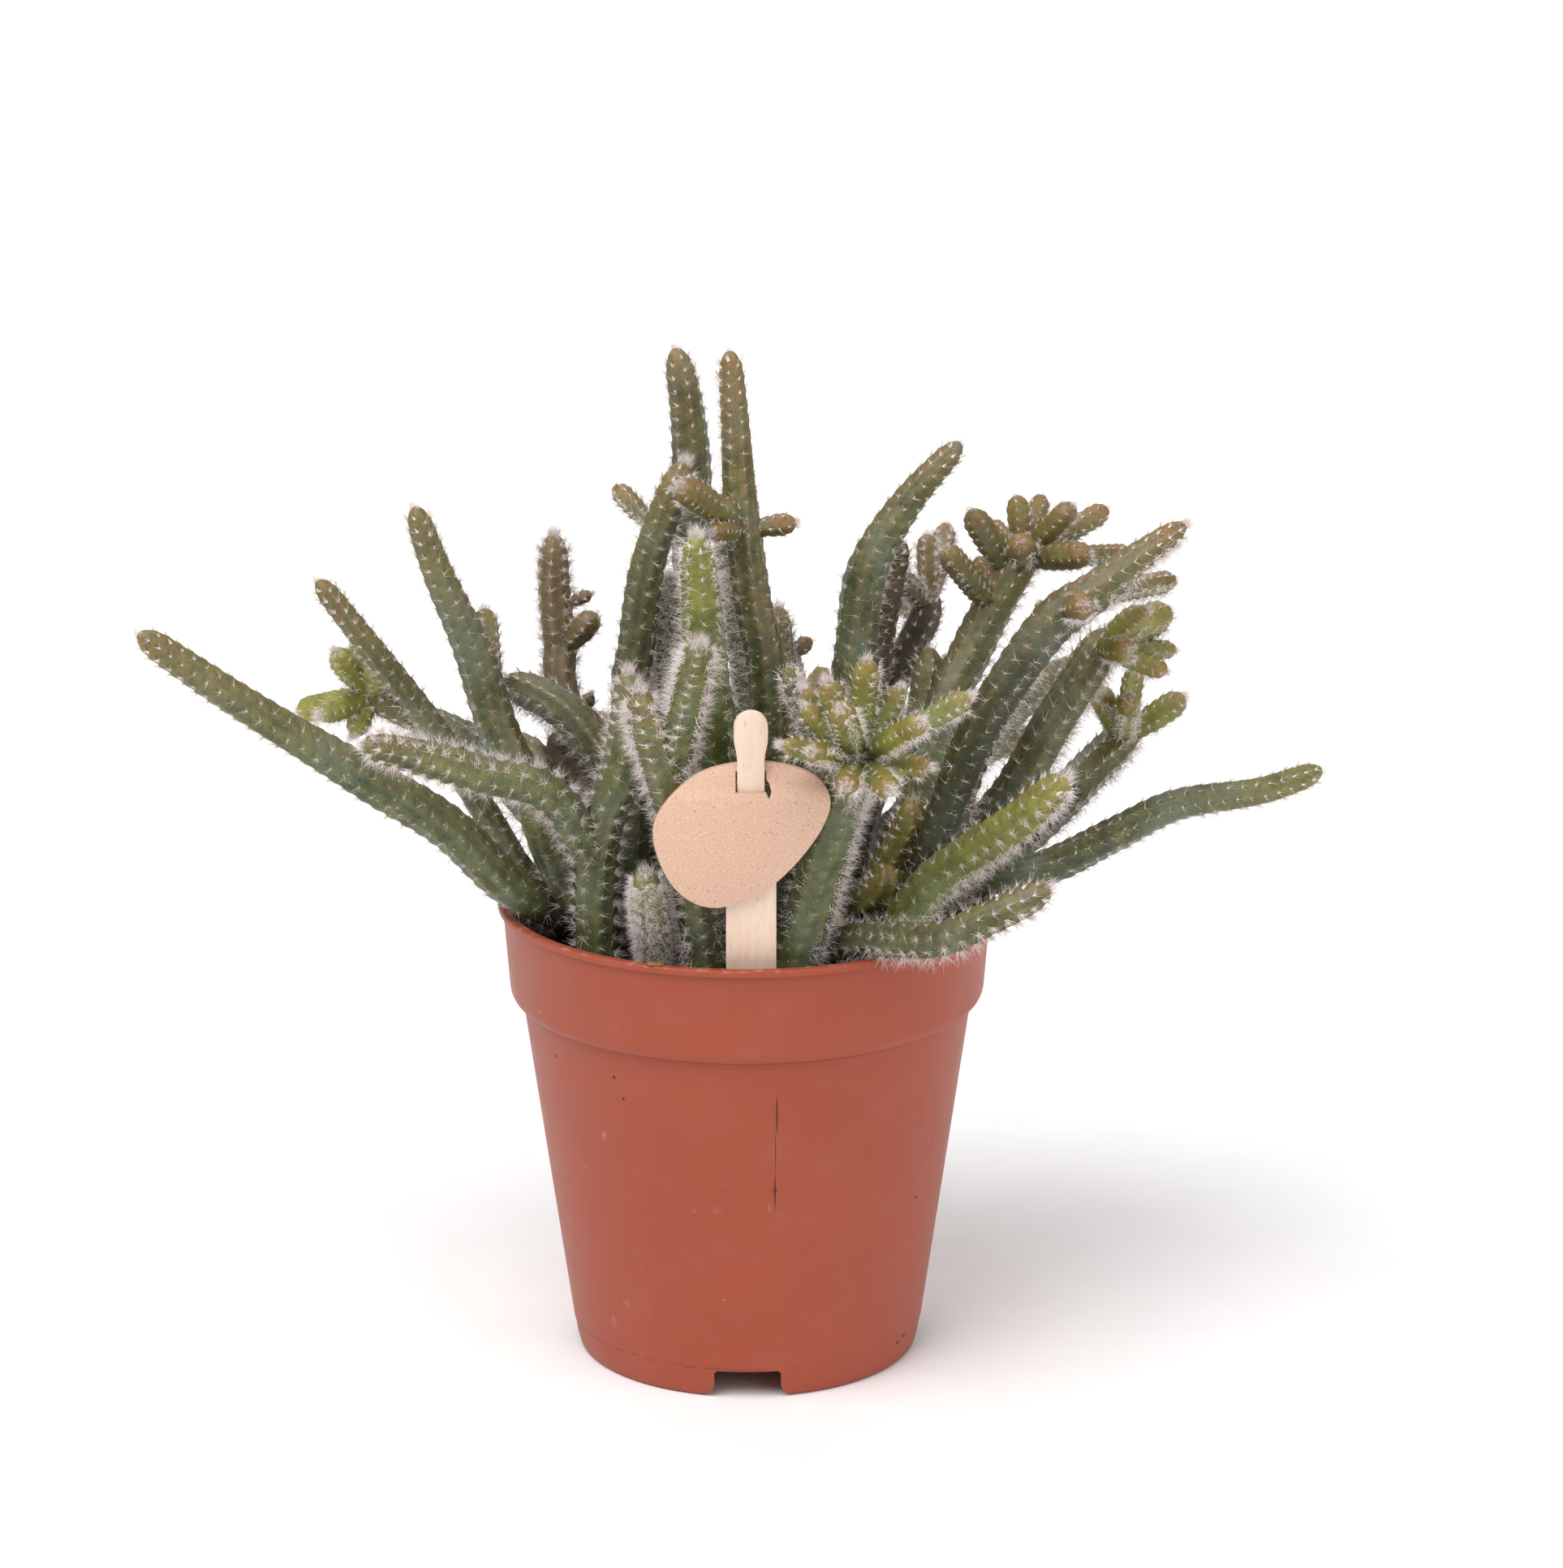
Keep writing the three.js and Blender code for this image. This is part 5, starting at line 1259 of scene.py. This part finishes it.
def line_object(name, limbs, tufts):
    """A working object: each limb is a row of points joined by edges, and each tuft a loose point."""
    points = [ring for limb in limbs for ring in limb] + tufts
    edges, first = [], 0
    for limb in limbs:
        edges += [(first + i, first + i + 1) for i in range(len(limb) - 1)]
        first += len(limb)
    mesh = bpy.data.meshes.new(name)
    mesh.from_pydata([tuple(ring["spot"] * MM) for ring in points], edges, [])
    in_mm = ("radius", "length", "scatter")
    for key in ("radius", "twist", "age", "shade", "sunny", "pad", "wool", "tone", "olive", "blush", "ripe",
                "knobs", "hairs", "length", "lean", "scatter", "tuft", "fine", "both", "dusty"):
        values = mesh.attributes.new("ring_size" if key == "radius" else key, "FLOAT", "POINT").data
        values.foreach_set("value", [ring[key] * (MM if key in in_mm else 1) for ring in points])
    mesh.attributes.new("ring", "INT", "POINT").data.foreach_set("value", [ring["ring"] for ring in points])
    for key in ("grow", "out", "shag"):
        values = mesh.attributes.new(key, "FLOAT_VECTOR", "POINT").data
        values.foreach_set("vector", np.array([ring.get(key, (0, 0, 1)) for ring in points], float).ravel())
    made = bpy.data.objects.new(name, mesh)
    bpy.context.scene.collection.objects.link(made)
    return made


print("rings on a limb of 60 mm:", len(ring_distances(60, SPACING)))

# %% [markdown]
# ## The tree that grows a stem
#
# One Geometry Nodes tree turns such a row of rings into a living stem. It sweeps a ring of points along the
# route, pushes the ribs and knobs out, and marks the areoles. On each it sets a wedge of felt and a spray of
# bristles, every one a closed needle with three sides. A particle system could comb hair too, but it wouldn't
# leave plain meshes, and these thin needles can be counted and kept within the limits.

# %% Skin: sweep, ribs and knobs
def read(tree, name, kind="FLOAT"):
    """The output that gives a value stored on the points by name."""
    node = add(tree, "GeometryNodeInputNamedAttribute", {"data_type": kind}, {"Name": name})
    return node.outputs["Attribute"]


def store(tree, geometry, name, value, kind="FLOAT"):
    """The geometry with a value stored on its points by name."""
    node = add(tree, "GeometryNodeStoreNamedAttribute", {"data_type": kind, "domain": "POINT"},
               {"Geometry": geometry, "Name": name, "Value": value})
    return node.outputs["Geometry"]


growth = bpy.data.node_groups.new("bristly_stem", "GeometryNodeTree")
given = inputs_of(growth, Ribs="Int", Rib_height="Float", Bristle_root="Float", Pad_size="Float", Seed="Int",
                  Skin="Material", Felt="Material", Bristle="Material")
line = add(growth, "GeometryNodeMeshToCurve", None, {"Mesh": given["Geometry"]}).outputs[0]
line = store(growth, line, "centre", add(growth, "GeometryNodeInputPosition").outputs[0], "FLOAT_VECTOR")
line = add(growth, "GeometryNodeSetCurveTilt", None,
           {"Curve": line, "Tilt": read(growth, "twist")}).outputs[0]
around_count = add(growth, "FunctionNodeIntegerMath", {"operation": "MULTIPLY"}, {0: given["Ribs"], 1: 4})
hoop = add(growth, "GeometryNodeCurvePrimitiveCircle", None,
           {"Resolution": around_count, "Radius": 1.0}).outputs[0]
hoop = store(growth, hoop, "around", add(growth, "GeometryNodeInputIndex").outputs[0], "INT")
ring_size = read(growth, "ring_size")
tube = add(growth, "GeometryNodeCurveToMesh", None,
           {"Curve": line, "Profile Curve": hoop, "Scale": ring_size, "Fill Caps": True}).outputs[0]

shifted = maths(growth, "ADD", read(growth, "around", "INT"), 1.0)
# The side is 1 on a crest and 3 in a furrow, and the phase is 0 at an areole.
side = maths(growth, "MODULO", shifted, 4.0)
rib = maths(growth, "FLOOR", maths(growth, "DIVIDE", shifted, 4.0))
parity = maths(growth, "MODULO", rib, 2.0)
climb = maths(growth, "MULTIPLY_ADD", parity, 2.0, read(growth, "ring", "INT"))
phase = maths(growth, "MODULO", climb, 4.0)
turned = maths(growth, "MULTIPLY_ADD", side, math.pi / 2, -math.pi / 2)
crest = maths(growth, "COSINE", turned)
on_rib = maths(growth, "MULTIPLY_ADD", crest, 0.6, 0.4)
on_rib = maths(growth, "MAXIMUM", on_rib, 0.0)
# Below each areole the rib swells into a knob, and above it the rib is nicked: a lopsided wave.
wave = maths(growth, "MULTIPLY", phase, math.pi / 2)
swell = maths(growth, "MULTIPLY_ADD", maths(growth, "SINE", wave), 0.7, 0.17)
swell = maths(growth, "MULTIPLY_ADD", maths(growth, "COSINE", wave), 0.25, swell)
swell = maths(growth, "MULTIPLY", swell, on_rib)
knobs = maths(growth, "MULTIPLY", swell, read(growth, "knobs"))
relief = maths(growth, "MULTIPLY_ADD", crest, given["Rib height"], knobs)
outward = vectors(growth, "SUBTRACT", add(growth, "GeometryNodeInputPosition"),
                  read(growth, "centre", "FLOAT_VECTOR"))
push = vectors(growth, "SCALE", outward, Scale=relief)
flat_out = vectors(growth, "NORMALIZE", outward)
tube = store(growth, tube, "out", flat_out.outputs[0], "FLOAT_VECTOR")
sky = add(growth, "ShaderNodeSeparateXYZ", None, {0: flat_out}).outputs["Z"]
tube = store(growth, tube, "sky", sky)
tube = store(growth, tube, "crest", crest.outputs[0])
tube = store(growth, tube, "swell", swell.outputs[0])
on_crest = maths(growth, "COMPARE", side, 1.0, 0.1)
at_areole = maths(growth, "COMPARE", phase, 0.0, 0.1)
areole = maths(growth, "MULTIPLY", on_crest, at_areole)
tube = store(growth, tube, "areole", areole.outputs[0])
skin = add(growth, "GeometryNodeSetPosition", None, {"Geometry": tube, "Offset": push})
smooth = add(growth, "GeometryNodeSetShadeSmooth", None, {"Geometry": skin})
covered = add(growth, "GeometryNodeSetMaterial", None, {"Geometry": smooth, "Material": given["Skin"]})
print("skin nodes:", len(growth.nodes))

# %% Areoles: a wedge of felt on each
def chance(tree, low, high, seed):
    """A random number for each point, between two limits."""
    limits = {"Min": low, "Max": high, "Seed": seed}
    return add(tree, "FunctionNodeRandomValue", {"data_type": "FLOAT"}, limits)


FREE_OF_SOIL = 81.5 * MM  # height from which areoles bear felt and bristles
height = add(growth, "ShaderNodeSeparateXYZ", None, {0: add(growth, "GeometryNodeInputPosition")})
in_air = maths(growth, "GREATER_THAN", height.outputs["Z"], FREE_OF_SOIL)
off_tip = maths(growth, "GREATER_THAN", read(growth, "ring", "INT"), 2.5)
bears = maths(growth, "MULTIPLY", in_air, read(growth, "areole"))
bears = maths(growth, "MULTIPLY", bears, off_tip)
seats = add(growth, "GeometryNodeMeshToPoints", None, {"Mesh": skin, "Selection": bears})
pad = add(growth, "GeometryNodeMeshCone", None,
          {"Vertices": 4, "Side Segments": 1, "Radius Top": 0.0, "Radius Bottom": 1.0, "Depth": 1.0})
half_up = vectors(growth, "SCALE", read(growth, "out", "FLOAT_VECTOR"), Scale=0.55)
swept = vectors(growth, "ADD", half_up, read(growth, "grow", "FLOAT_VECTOR"))
forwards = add(growth, "FunctionNodeAlignRotationToVector", {"axis": "Z"}, {"Vector": swept.outputs[0]})
size = chance(growth, 0.6, 1.3, given["Seed"])
size = maths(growth, "MULTIPLY", size, given["Pad size"])
size = maths(growth, "MULTIPLY", size, read(growth, "pad"))
long = maths(growth, "MULTIPLY", size, 4.5)
wedge = add(growth, "ShaderNodeCombineXYZ", None, {0: size, 1: size, 2: long})
pads = add(growth, "GeometryNodeInstanceOnPoints", None,
           {"Points": seats, "Instance": pad, "Rotation": forwards, "Scale": wedge.outputs[0]})
pads = add(growth, "GeometryNodeRealizeInstances", None, {"Geometry": pads})
pads = add(growth, "GeometryNodeSetMaterial", None, {"Geometry": pads, "Material": given["Felt"]})
print("nodes so far:", len(growth.nodes))

# %% Bristles: a spray from each cushion, and the tufts
loose = add(growth, "GeometryNodeSeparateGeometry", {"domain": "POINT"},
            {"Geometry": given["Geometry"], "Selection": read(growth, "tuft")})
loose = add(growth, "GeometryNodeMeshToPoints", None, {"Mesh": loose})
roots = add(growth, "GeometryNodeJoinGeometry")
growth.links.new(seats.outputs[0], roots.inputs[0])
growth.links.new(loose.outputs[0], roots.inputs[0])
# Some areoles bear more hairs than others, and those on a shaggy side bear most and longest.
luck = chance(growth, 0.5, 1.5, given["Seed"])
facing = vectors(growth, "DOT_PRODUCT", read(growth, "out", "FLOAT_VECTOR"),
                 read(growth, "shag", "FLOAT_VECTOR")).outputs["Value"]
behind = maths(growth, "MULTIPLY", facing, -1.0)
behind = maths(growth, "MULTIPLY", behind, read(growth, "both"))
facing = maths(growth, "MAXIMUM", facing, behind)
facing = maths(growth, "MAXIMUM", facing, 0.0)
roots = store(growth, roots, "facing", facing)
amount = maths(growth, "MULTIPLY", luck, read(growth, "hairs"))
amount = maths(growth, "MULTIPLY_ADD", amount, read(growth, "facing"), amount)
hairs = add(growth, "GeometryNodeDuplicateElements", {"domain": "POINT"},
            {"Geometry": roots, "Amount": amount}).outputs[0]

fan = chance(growth, 0.4, 1.3, given["Seed"])
tighter = maths(growth, "MULTIPLY_ADD", read(growth, "tuft"), -0.4, 1.0)
fan = maths(growth, "MULTIPLY", fan, tighter)
spin_round = chance(growth, 0.0, 6.283, 11)
up, grow = read(growth, "out", "FLOAT_VECTOR"), read(growth, "grow", "FLOAT_VECTOR")
across = vectors(growth, "CROSS_PRODUCT", grow, up).outputs[0]
sine = maths(growth, "SINE", fan)
sideways = maths(growth, "MULTIPLY", sine, maths(growth, "COSINE", spin_round))
forward = maths(growth, "MULTIPLY", sine, maths(growth, "SINE", spin_round))
# Hairs lean towards the tip, except in a shaggy fringe, where they stand off the stem.
upright = maths(growth, "MULTIPLY_ADD", read(growth, "facing"), -0.4, 1.0, clamp=True)
leant = maths(growth, "MULTIPLY", upright, read(growth, "lean"))
forward = maths(growth, "MULTIPLY_ADD", forward, 0.7, leant)
rising = maths(growth, "COSINE", fan)
way = None
for direction, share in ((up, rising), (across, sideways), (grow, forward)):
    part = vectors(growth, "SCALE", direction, Scale=share)
    if way is None:
        way = part
    else:
        way = vectors(growth, "ADD", way, part)
way = vectors(growth, "NORMALIZE", way)
reach = chance(growth, 0.4, 1.15, 12)
reach = maths(growth, "MULTIPLY", reach, read(growth, "length"))
shaggier = remap(growth, read(growth, "facing"), (0.0, 2.0), (1.0, 1.3))
reach = maths(growth, "MULTIPLY", reach, shaggier)
hairs = store(growth, hairs, "way", way.outputs[0], "FLOAT_VECTOR")
hairs = store(growth, hairs, "reach", reach.outputs[0])
strand = chance(growth, 0.0, 1.0, 13)
hairs = store(growth, hairs, "strand", strand.outputs[1])
aside = add(growth, "FunctionNodeRandomValue", {"data_type": "FLOAT_VECTOR"},
            {"Min": (-1.0, -1.0, -1.0), "Max": (1.0, 1.0, 1.0), "Seed": 14})
crowd = maths(growth, "MINIMUM", read(growth, "facing"), 2.5)
spread = maths(growth, "MULTIPLY_ADD", crowd, 0.4 * MM, read(growth, "scatter"))
aside = vectors(growth, "SCALE", aside, Scale=spread)
# Except in the tufts, the roots shift along the skin only: what leaves it is taken away.
off_skin = vectors(growth, "DOT_PRODUCT", aside, up).outputs["Value"]
on_stem = maths(growth, "SUBTRACT", read(growth, "tuft"), 1.0)
off_skin = maths(growth, "MULTIPLY", off_skin, on_stem)
back = vectors(growth, "SCALE", up, Scale=off_skin)
aside = vectors(growth, "ADD", aside, back)
hairs = add(growth, "GeometryNodeSetPosition", None, {"Geometry": hairs, "Offset": aside})
print("nodes so far:", len(growth.nodes))

# %% Bristles: keep them out of the soil and the label
NEAR_LABEL = 2.2 * MM  # how near the label's middle plane a bristle's tip may come
LABEL_BOX = {"X": (0.8, 19.0), "Z": (100, 28.0)}  # the label's middle and half its size, with some room
BURIED = 81.2 * MM  # height below which a tip would be in the soil
foot = add(growth, "GeometryNodeInputPosition")
tip = vectors(growth, "MULTIPLY_ADD", read(growth, "way", "FLOAT_VECTOR"), read(growth, "reach"), foot)
ends = []
for end in (foot, tip):
    spot = add(growth, "ShaderNodeSeparateXYZ", None, {0: end})
    # How far the end lies before the leaning label, in metres.
    before = maths(growth, "MULTIPLY_ADD", spot.outputs["Z"], -math.tan(LEAN),
                   LABEL_FOOT.y + RIM_Z * MM * math.tan(LEAN))
    before = maths(growth, "SUBTRACT", before, spot.outputs["Y"])
    ends.append((spot, before))
(_, foot_before), (tip_spot, tip_before) = ends
crossing = maths(growth, "MULTIPLY", foot_before, tip_before)
crossing = maths(growth, "LESS_THAN", crossing, 0.0)
near = maths(growth, "COMPARE", tip_before, 0.0, NEAR_LABEL)
near = maths(growth, "MAXIMUM", near, crossing)
for axis, (middle, half) in LABEL_BOX.items():
    within = maths(growth, "COMPARE", tip_spot.outputs[axis], middle * MM, half * MM)
    near = maths(growth, "MULTIPLY", near, within)
buried = maths(growth, "LESS_THAN", tip_spot.outputs["Z"], BURIED)
wrong = maths(growth, "MAXIMUM", near, buried)
hairs = add(growth, "GeometryNodeDeleteGeometry", {"domain": "POINT"},
            {"Geometry": hairs, "Selection": wrong})

needle = add(growth, "GeometryNodeMeshCone", None,
             {"Vertices": 3, "Side Segments": 1, "Radius Top": 0.0, "Radius Bottom": 1.0, "Depth": 1.0})
along = add(growth, "FunctionNodeAlignRotationToVector", {"axis": "Z"},
            {"Vector": read(growth, "way", "FLOAT_VECTOR")})
thin = maths(growth, "MULTIPLY", given["Bristle root"], read(growth, "fine"))
shape = add(growth, "ShaderNodeCombineXYZ", None, {0: thin, 1: thin, 2: read(growth, "reach")})
bristles = add(growth, "GeometryNodeInstanceOnPoints", None,
               {"Points": hairs, "Instance": needle, "Rotation": along, "Scale": shape})
bristles = add(growth, "GeometryNodeRealizeInstances", None, {"Geometry": bristles})
bristles = add(growth, "GeometryNodeSetMaterial", None, {"Geometry": bristles, "Material": given["Bristle"]})
gathered = add(growth, "GeometryNodeJoinGeometry")
for layer in (covered, pads, bristles):
    growth.links.new(layer.outputs[0], gathered.inputs[0])
whole = add(growth, "GeometryNodeRealizeInstances", None, {"Geometry": gathered})
add(growth, "NodeGroupOutput", None, {0: whole})
print("nodes in the whole tree:", len(growth.nodes))

# %% [markdown]
# ## Skin, felt and bristle
#
# The skin is a waxy green, grey where the bloom of wax is thick, and less yellow down the stem. Down the
# stem it also darkens, partly as old skin does and partly as painted shade, which on stems with much gloom
# ends nearly black. It is brown where its upper side, the crests of its ribs and its tip have weathered, and
# the crests are a little lighter as a painted highlight. Each knob is nicked with painted shade. Such
# mottling could be painted on stem by stem, but noise that is read at a stem's place in the pot makes each
# one different by itself. The felt of an areole is cream. Most bristles are white and some are tan, so each
# carries a random value from the tree, and on old stems and low down dust turns them brown.

# %% Mix the plant's materials
def stem_skin(name, deep, pale, deep_olive, pale_olive, brown, furrow, bloom):
    """A stem's skin, from dark and light green, dark and light olive, weathered, shaded and waxy colours."""
    made, tree, shader = material(name)
    place = add(tree, "ShaderNodeTexCoord").outputs["Object"]
    stored = ("tone", "olive", "blush", "ripe", "crest", "swell", "age", "shade", "sunny", "sky", "wool")
    known = {key: add(tree, "ShaderNodeAttribute", {"attribute_name": key}).outputs["Fac"] for key in stored}
    patches = noise(tree, place, 240.0, 6.0, Roughness=0.72)
    mottled = remap(tree, patches, (0.3, 0.7), (-0.36, 0.36))
    light = maths(tree, "ADD", known["tone"], mottled)
    # Low down the skin darkens, partly as older skin and partly as painted shade.
    darker = maths(tree, "MINIMUM", known["shade"], 0.45)
    light = maths(tree, "SUBTRACT", light, darker)
    # The crests of the ribs are a little lighter: a painted highlight.
    light = maths(tree, "MULTIPLY_ADD", known["crest"], 0.1, light, clamp=True)
    green = blend(tree, light, colour(deep), colour(pale))
    ochre = blend(tree, light, colour(deep_olive), colour(pale_olive))
    fading = maths(tree, "MULTIPLY_ADD", known["age"], -0.7, 1.0)
    yellowed = maths(tree, "MULTIPLY", known["olive"], fading)
    leaning = maths(tree, "MULTIPLY_ADD", mottled, 0.6, yellowed, clamp=True)
    flesh = blend(tree, leaning, green, ochre)
    drifts = noise(tree, place, 75.0, 1.0)
    waxy = remap(tree, drifts, (0.5, 0.66), (0.0, 0.45))
    flesh = blend(tree, waxy, flesh, colour(bloom))
    # Weathering: brown on the side that faces the sky, on the areoles' rims, on the crests and at the tip.
    blotches = noise(tree, place, 420.0, 4.0)
    weather = remap(tree, blotches, (0.35, 0.65), (0.35, 1.15))
    sunned = remap(tree, known["sky"], (0.1, 0.9), (0.0, 0.55))
    rims = remap(tree, known["swell"], (0.1, 0.5), (0.0, 0.3))
    ridge = remap(tree, known["crest"], (0.3, 1.0), (0.0, 0.4))
    burnt = maths(tree, "ADD", sunned, rims)
    burnt = maths(tree, "ADD", burnt, ridge)
    burnt = maths(tree, "MULTIPLY_ADD", burnt, known["sunny"], known["ripe"])
    burnt = maths(tree, "MULTIPLY", burnt, known["blush"])
    burnt = maths(tree, "MULTIPLY", burnt, weather, clamp=True)
    flesh = blend(tree, burnt, flesh, colour(brown))
    shade = remap(tree, known["swell"], (0.0, -0.5), (0.0, 0.45))
    flesh = blend(tree, shade, flesh, colour(furrow))
    cells = noise(tree, place, 3600.0, 1.0)
    dots = remap(tree, cells, (0.58, 0.75), (0.0, 0.2))
    flesh = blend(tree, dots, flesh, colour("#b9bb94"))
    # Low down the stem the old areoles are pale dots, one in each cell of 1.6 mm.
    old_areoles = add(tree, "ShaderNodeTexVoronoi", None,
                      {"Vector": place, "Scale": 620.0, "Randomness": 0.6})
    dotted = remap(tree, old_areoles, (0.1, 0.2), (0.6, 0.0))
    grown = remap(tree, known["age"], (0.6, 0.85))
    dotted = maths(tree, "MULTIPLY", dotted, grown)
    flesh = blend(tree, dotted, flesh, colour("#bcc0a0"))
    # Deep painted shade: stems with much gloom end nearly black low down.
    gloom = remap(tree, known["shade"], (0.4, 1.1), (0.0, 0.85))
    flesh = blend(tree, gloom, flesh, colour("#17180d"))
    flecks = noise(tree, place, 1500.0, 2.0)
    woolly = maths(tree, "ADD", flecks, known["wool"])
    woolly = remap(tree, woolly, (0.8, 1.15))
    flesh = blend(tree, woolly, flesh, colour("#cfc4ba"))
    tree.links.new(flesh.outputs[2], shader.inputs["Base Color"])
    shader.inputs["Roughness"].default_value = 0.4
    shader.inputs["IOR"].default_value = 1.42
    bump = add(tree, "ShaderNodeBump", None, {"Strength": 0.4, "Distance": 0.08 * MM, "Height": cells})
    tree.links.new(bump.outputs[0], shader.inputs["Normal"])
    return made


def fibre(name, usual, other, share, roughness):
    """Bristles or felt: one colour for most strands, another for a share of them."""
    made, tree, shader = material(name)
    place = add(tree, "ShaderNodeTexCoord").outputs["Object"]
    strand = add(tree, "ShaderNodeAttribute", {"attribute_name": "strand"})
    streaks = noise(tree, place, 1500.0, 2.0)
    drawn = maths(tree, "MULTIPLY_ADD", streaks, 0.6, strand.outputs["Fac"])
    odd = remap(tree, drawn, (1.2 - share, 1.45 - share))
    tint = blend(tree, odd, colour(usual), colour(other))
    dust = add(tree, "ShaderNodeAttribute", {"attribute_name": "dusty"})
    tint = blend(tree, dust.outputs["Fac"], tint, colour("#84705c"))
    tree.links.new(tint.outputs[2], shader.inputs["Base Color"])
    shader.inputs["Roughness"].default_value = roughness
    shader.inputs["Specular IOR Level"].default_value = 0.35
    return made


flesh_of = {
    "stem_skin": stem_skin(
        "waxy_green_skin", "#343c27", "#76845a", "#46461f", "#98924e", "#8a6840", "#2a2e1a", "#6f7b68"
    ),
    "young_stem": stem_skin(
        "young_olive_skin", "#3f4f22", "#878f53", "#5a5f1e", "#a3a54c", "#93683c", "#343d16", "#7f8f60"
    ),
    "old_stem": stem_skin(
        "weathered_brown_skin", "#2b2817", "#7d7450", "#382d11", "#86764c", "#8b6e52", "#201b10", "#6a6554"
    ),
}
bristle = fibre("pale_bristle", "#f6eeee", "#d8c4b2", 0.25, 0.5)
felt = fibre("areole_felt", "#f2e9dc", "#d8c49e", 0.3, 0.95)

# %% Grow every stem
RIBS, SHOOT_RIBS = 8, 6
SIZES = {"Rib_height": 0.055, "Bristle_root": 0.038 * MM, "Pad_size": 0.26 * MM}
for number, (name, stem) in enumerate(STEMS.items()):
    look, shoot_look = LOOKS.get(name, USUAL_LOOK), SHOOT_LOOKS.get(name, USUAL_SHOOT)
    shaggy, dust = SHAGGY.get(name, USUAL_SHAG), DUSTY.get(name, 0.0)
    gloom = GLOOM.get(name, USUAL_GLOOM)
    points = [(*stem["route"][0][:2], ROOT_Z), *stem["route"]]
    line = smooth_curve(points, SPAN)
    mains = [lay_rings(points, stem["radii"], SPACING, look, shaggy, gloom, dust)]
    tufts, shoots = [tuft(points, stem["radii"], look, dust)], []
    last_span = np.linalg.norm(line[-1] - line[-1 - SPAN])
    tip_share = 1 - stem["radii"][2] / last_span / (len(points) - 1)
    for share, radii, way in stem.get("shoots", []):
        at = min(share, tip_share)
        base = line[int(at * (len(line) - 1))]
        limb = [tuple(base), *way]
        if len(way) > 1:
            mains.append(lay_rings(limb, radii, SPACING, look, shaggy, gloom, dust, start=1.0))
            tufts.append(tuft(limb, radii, look, dust))
        else:
            start = 0.5 * radius_at(stem["radii"], at)
            shoots.append(lay_rings(limb, radii, SHOOT_SPACING, shoot_look, shaggy, gloom, dust, start, True))
            tufts.append(tuft(limb, radii, shoot_look, dust))
    slot = "young_stem" if name in YOUNG else "old_stem" if name in OLD else "stem_skin"
    whole = bmesh.new()
    # Olive shoots are young, so they get the young skin, as the fourth material after skin, felt and bristle.
    flesh = flesh_of[slot]
    finishes = [flesh, felt, bristle]
    shoot_skin = flesh_of["young_stem"] if shoots and shoot_look[3] >= 0.8 else flesh
    if shoot_skin is not flesh:
        finishes.append(shoot_skin)
    for ribs, limbs, ends, skin_here in ((RIBS, mains, tufts, flesh), (SHOOT_RIBS, shoots, [], shoot_skin)):
        if limbs:
            working = line_object("route", limbs, ends)
            apply_tree(working, growth, Ribs=ribs, Seed=number, Skin=skin_here, Felt=felt, Bristle=bristle,
                       **SIZES)
            grown = settle(working, "grown")
            order = [finishes.index(made_of) if made_of else 0 for made_of in grown.data.materials]
            numbers = np.empty(len(grown.data.polygons), dtype=np.int32)
            grown.data.polygons.foreach_get("material_index", numbers)
            grown.data.polygons.foreach_set("material_index", np.array(order, dtype=np.int32)[numbers])
            whole.from_mesh(grown.data)
            bpy.data.objects.remove(grown)
    mesh = bpy.data.meshes.new("bristly_" + name)
    whole.to_mesh(mesh)
    whole.free()
    for made_of in finishes:
        mesh.materials.append(made_of)
    piece = bpy.data.objects.new("bristly_" + name, mesh)
    bpy.context.scene.collection.objects.link(piece)
    hand_over(piece, name)

# %% [markdown]
# ## Close
#
# The triangles that the finished pieces add are counted and printed.

# %% Measure and finish
print("triangles in all:", sum(triangles_added))
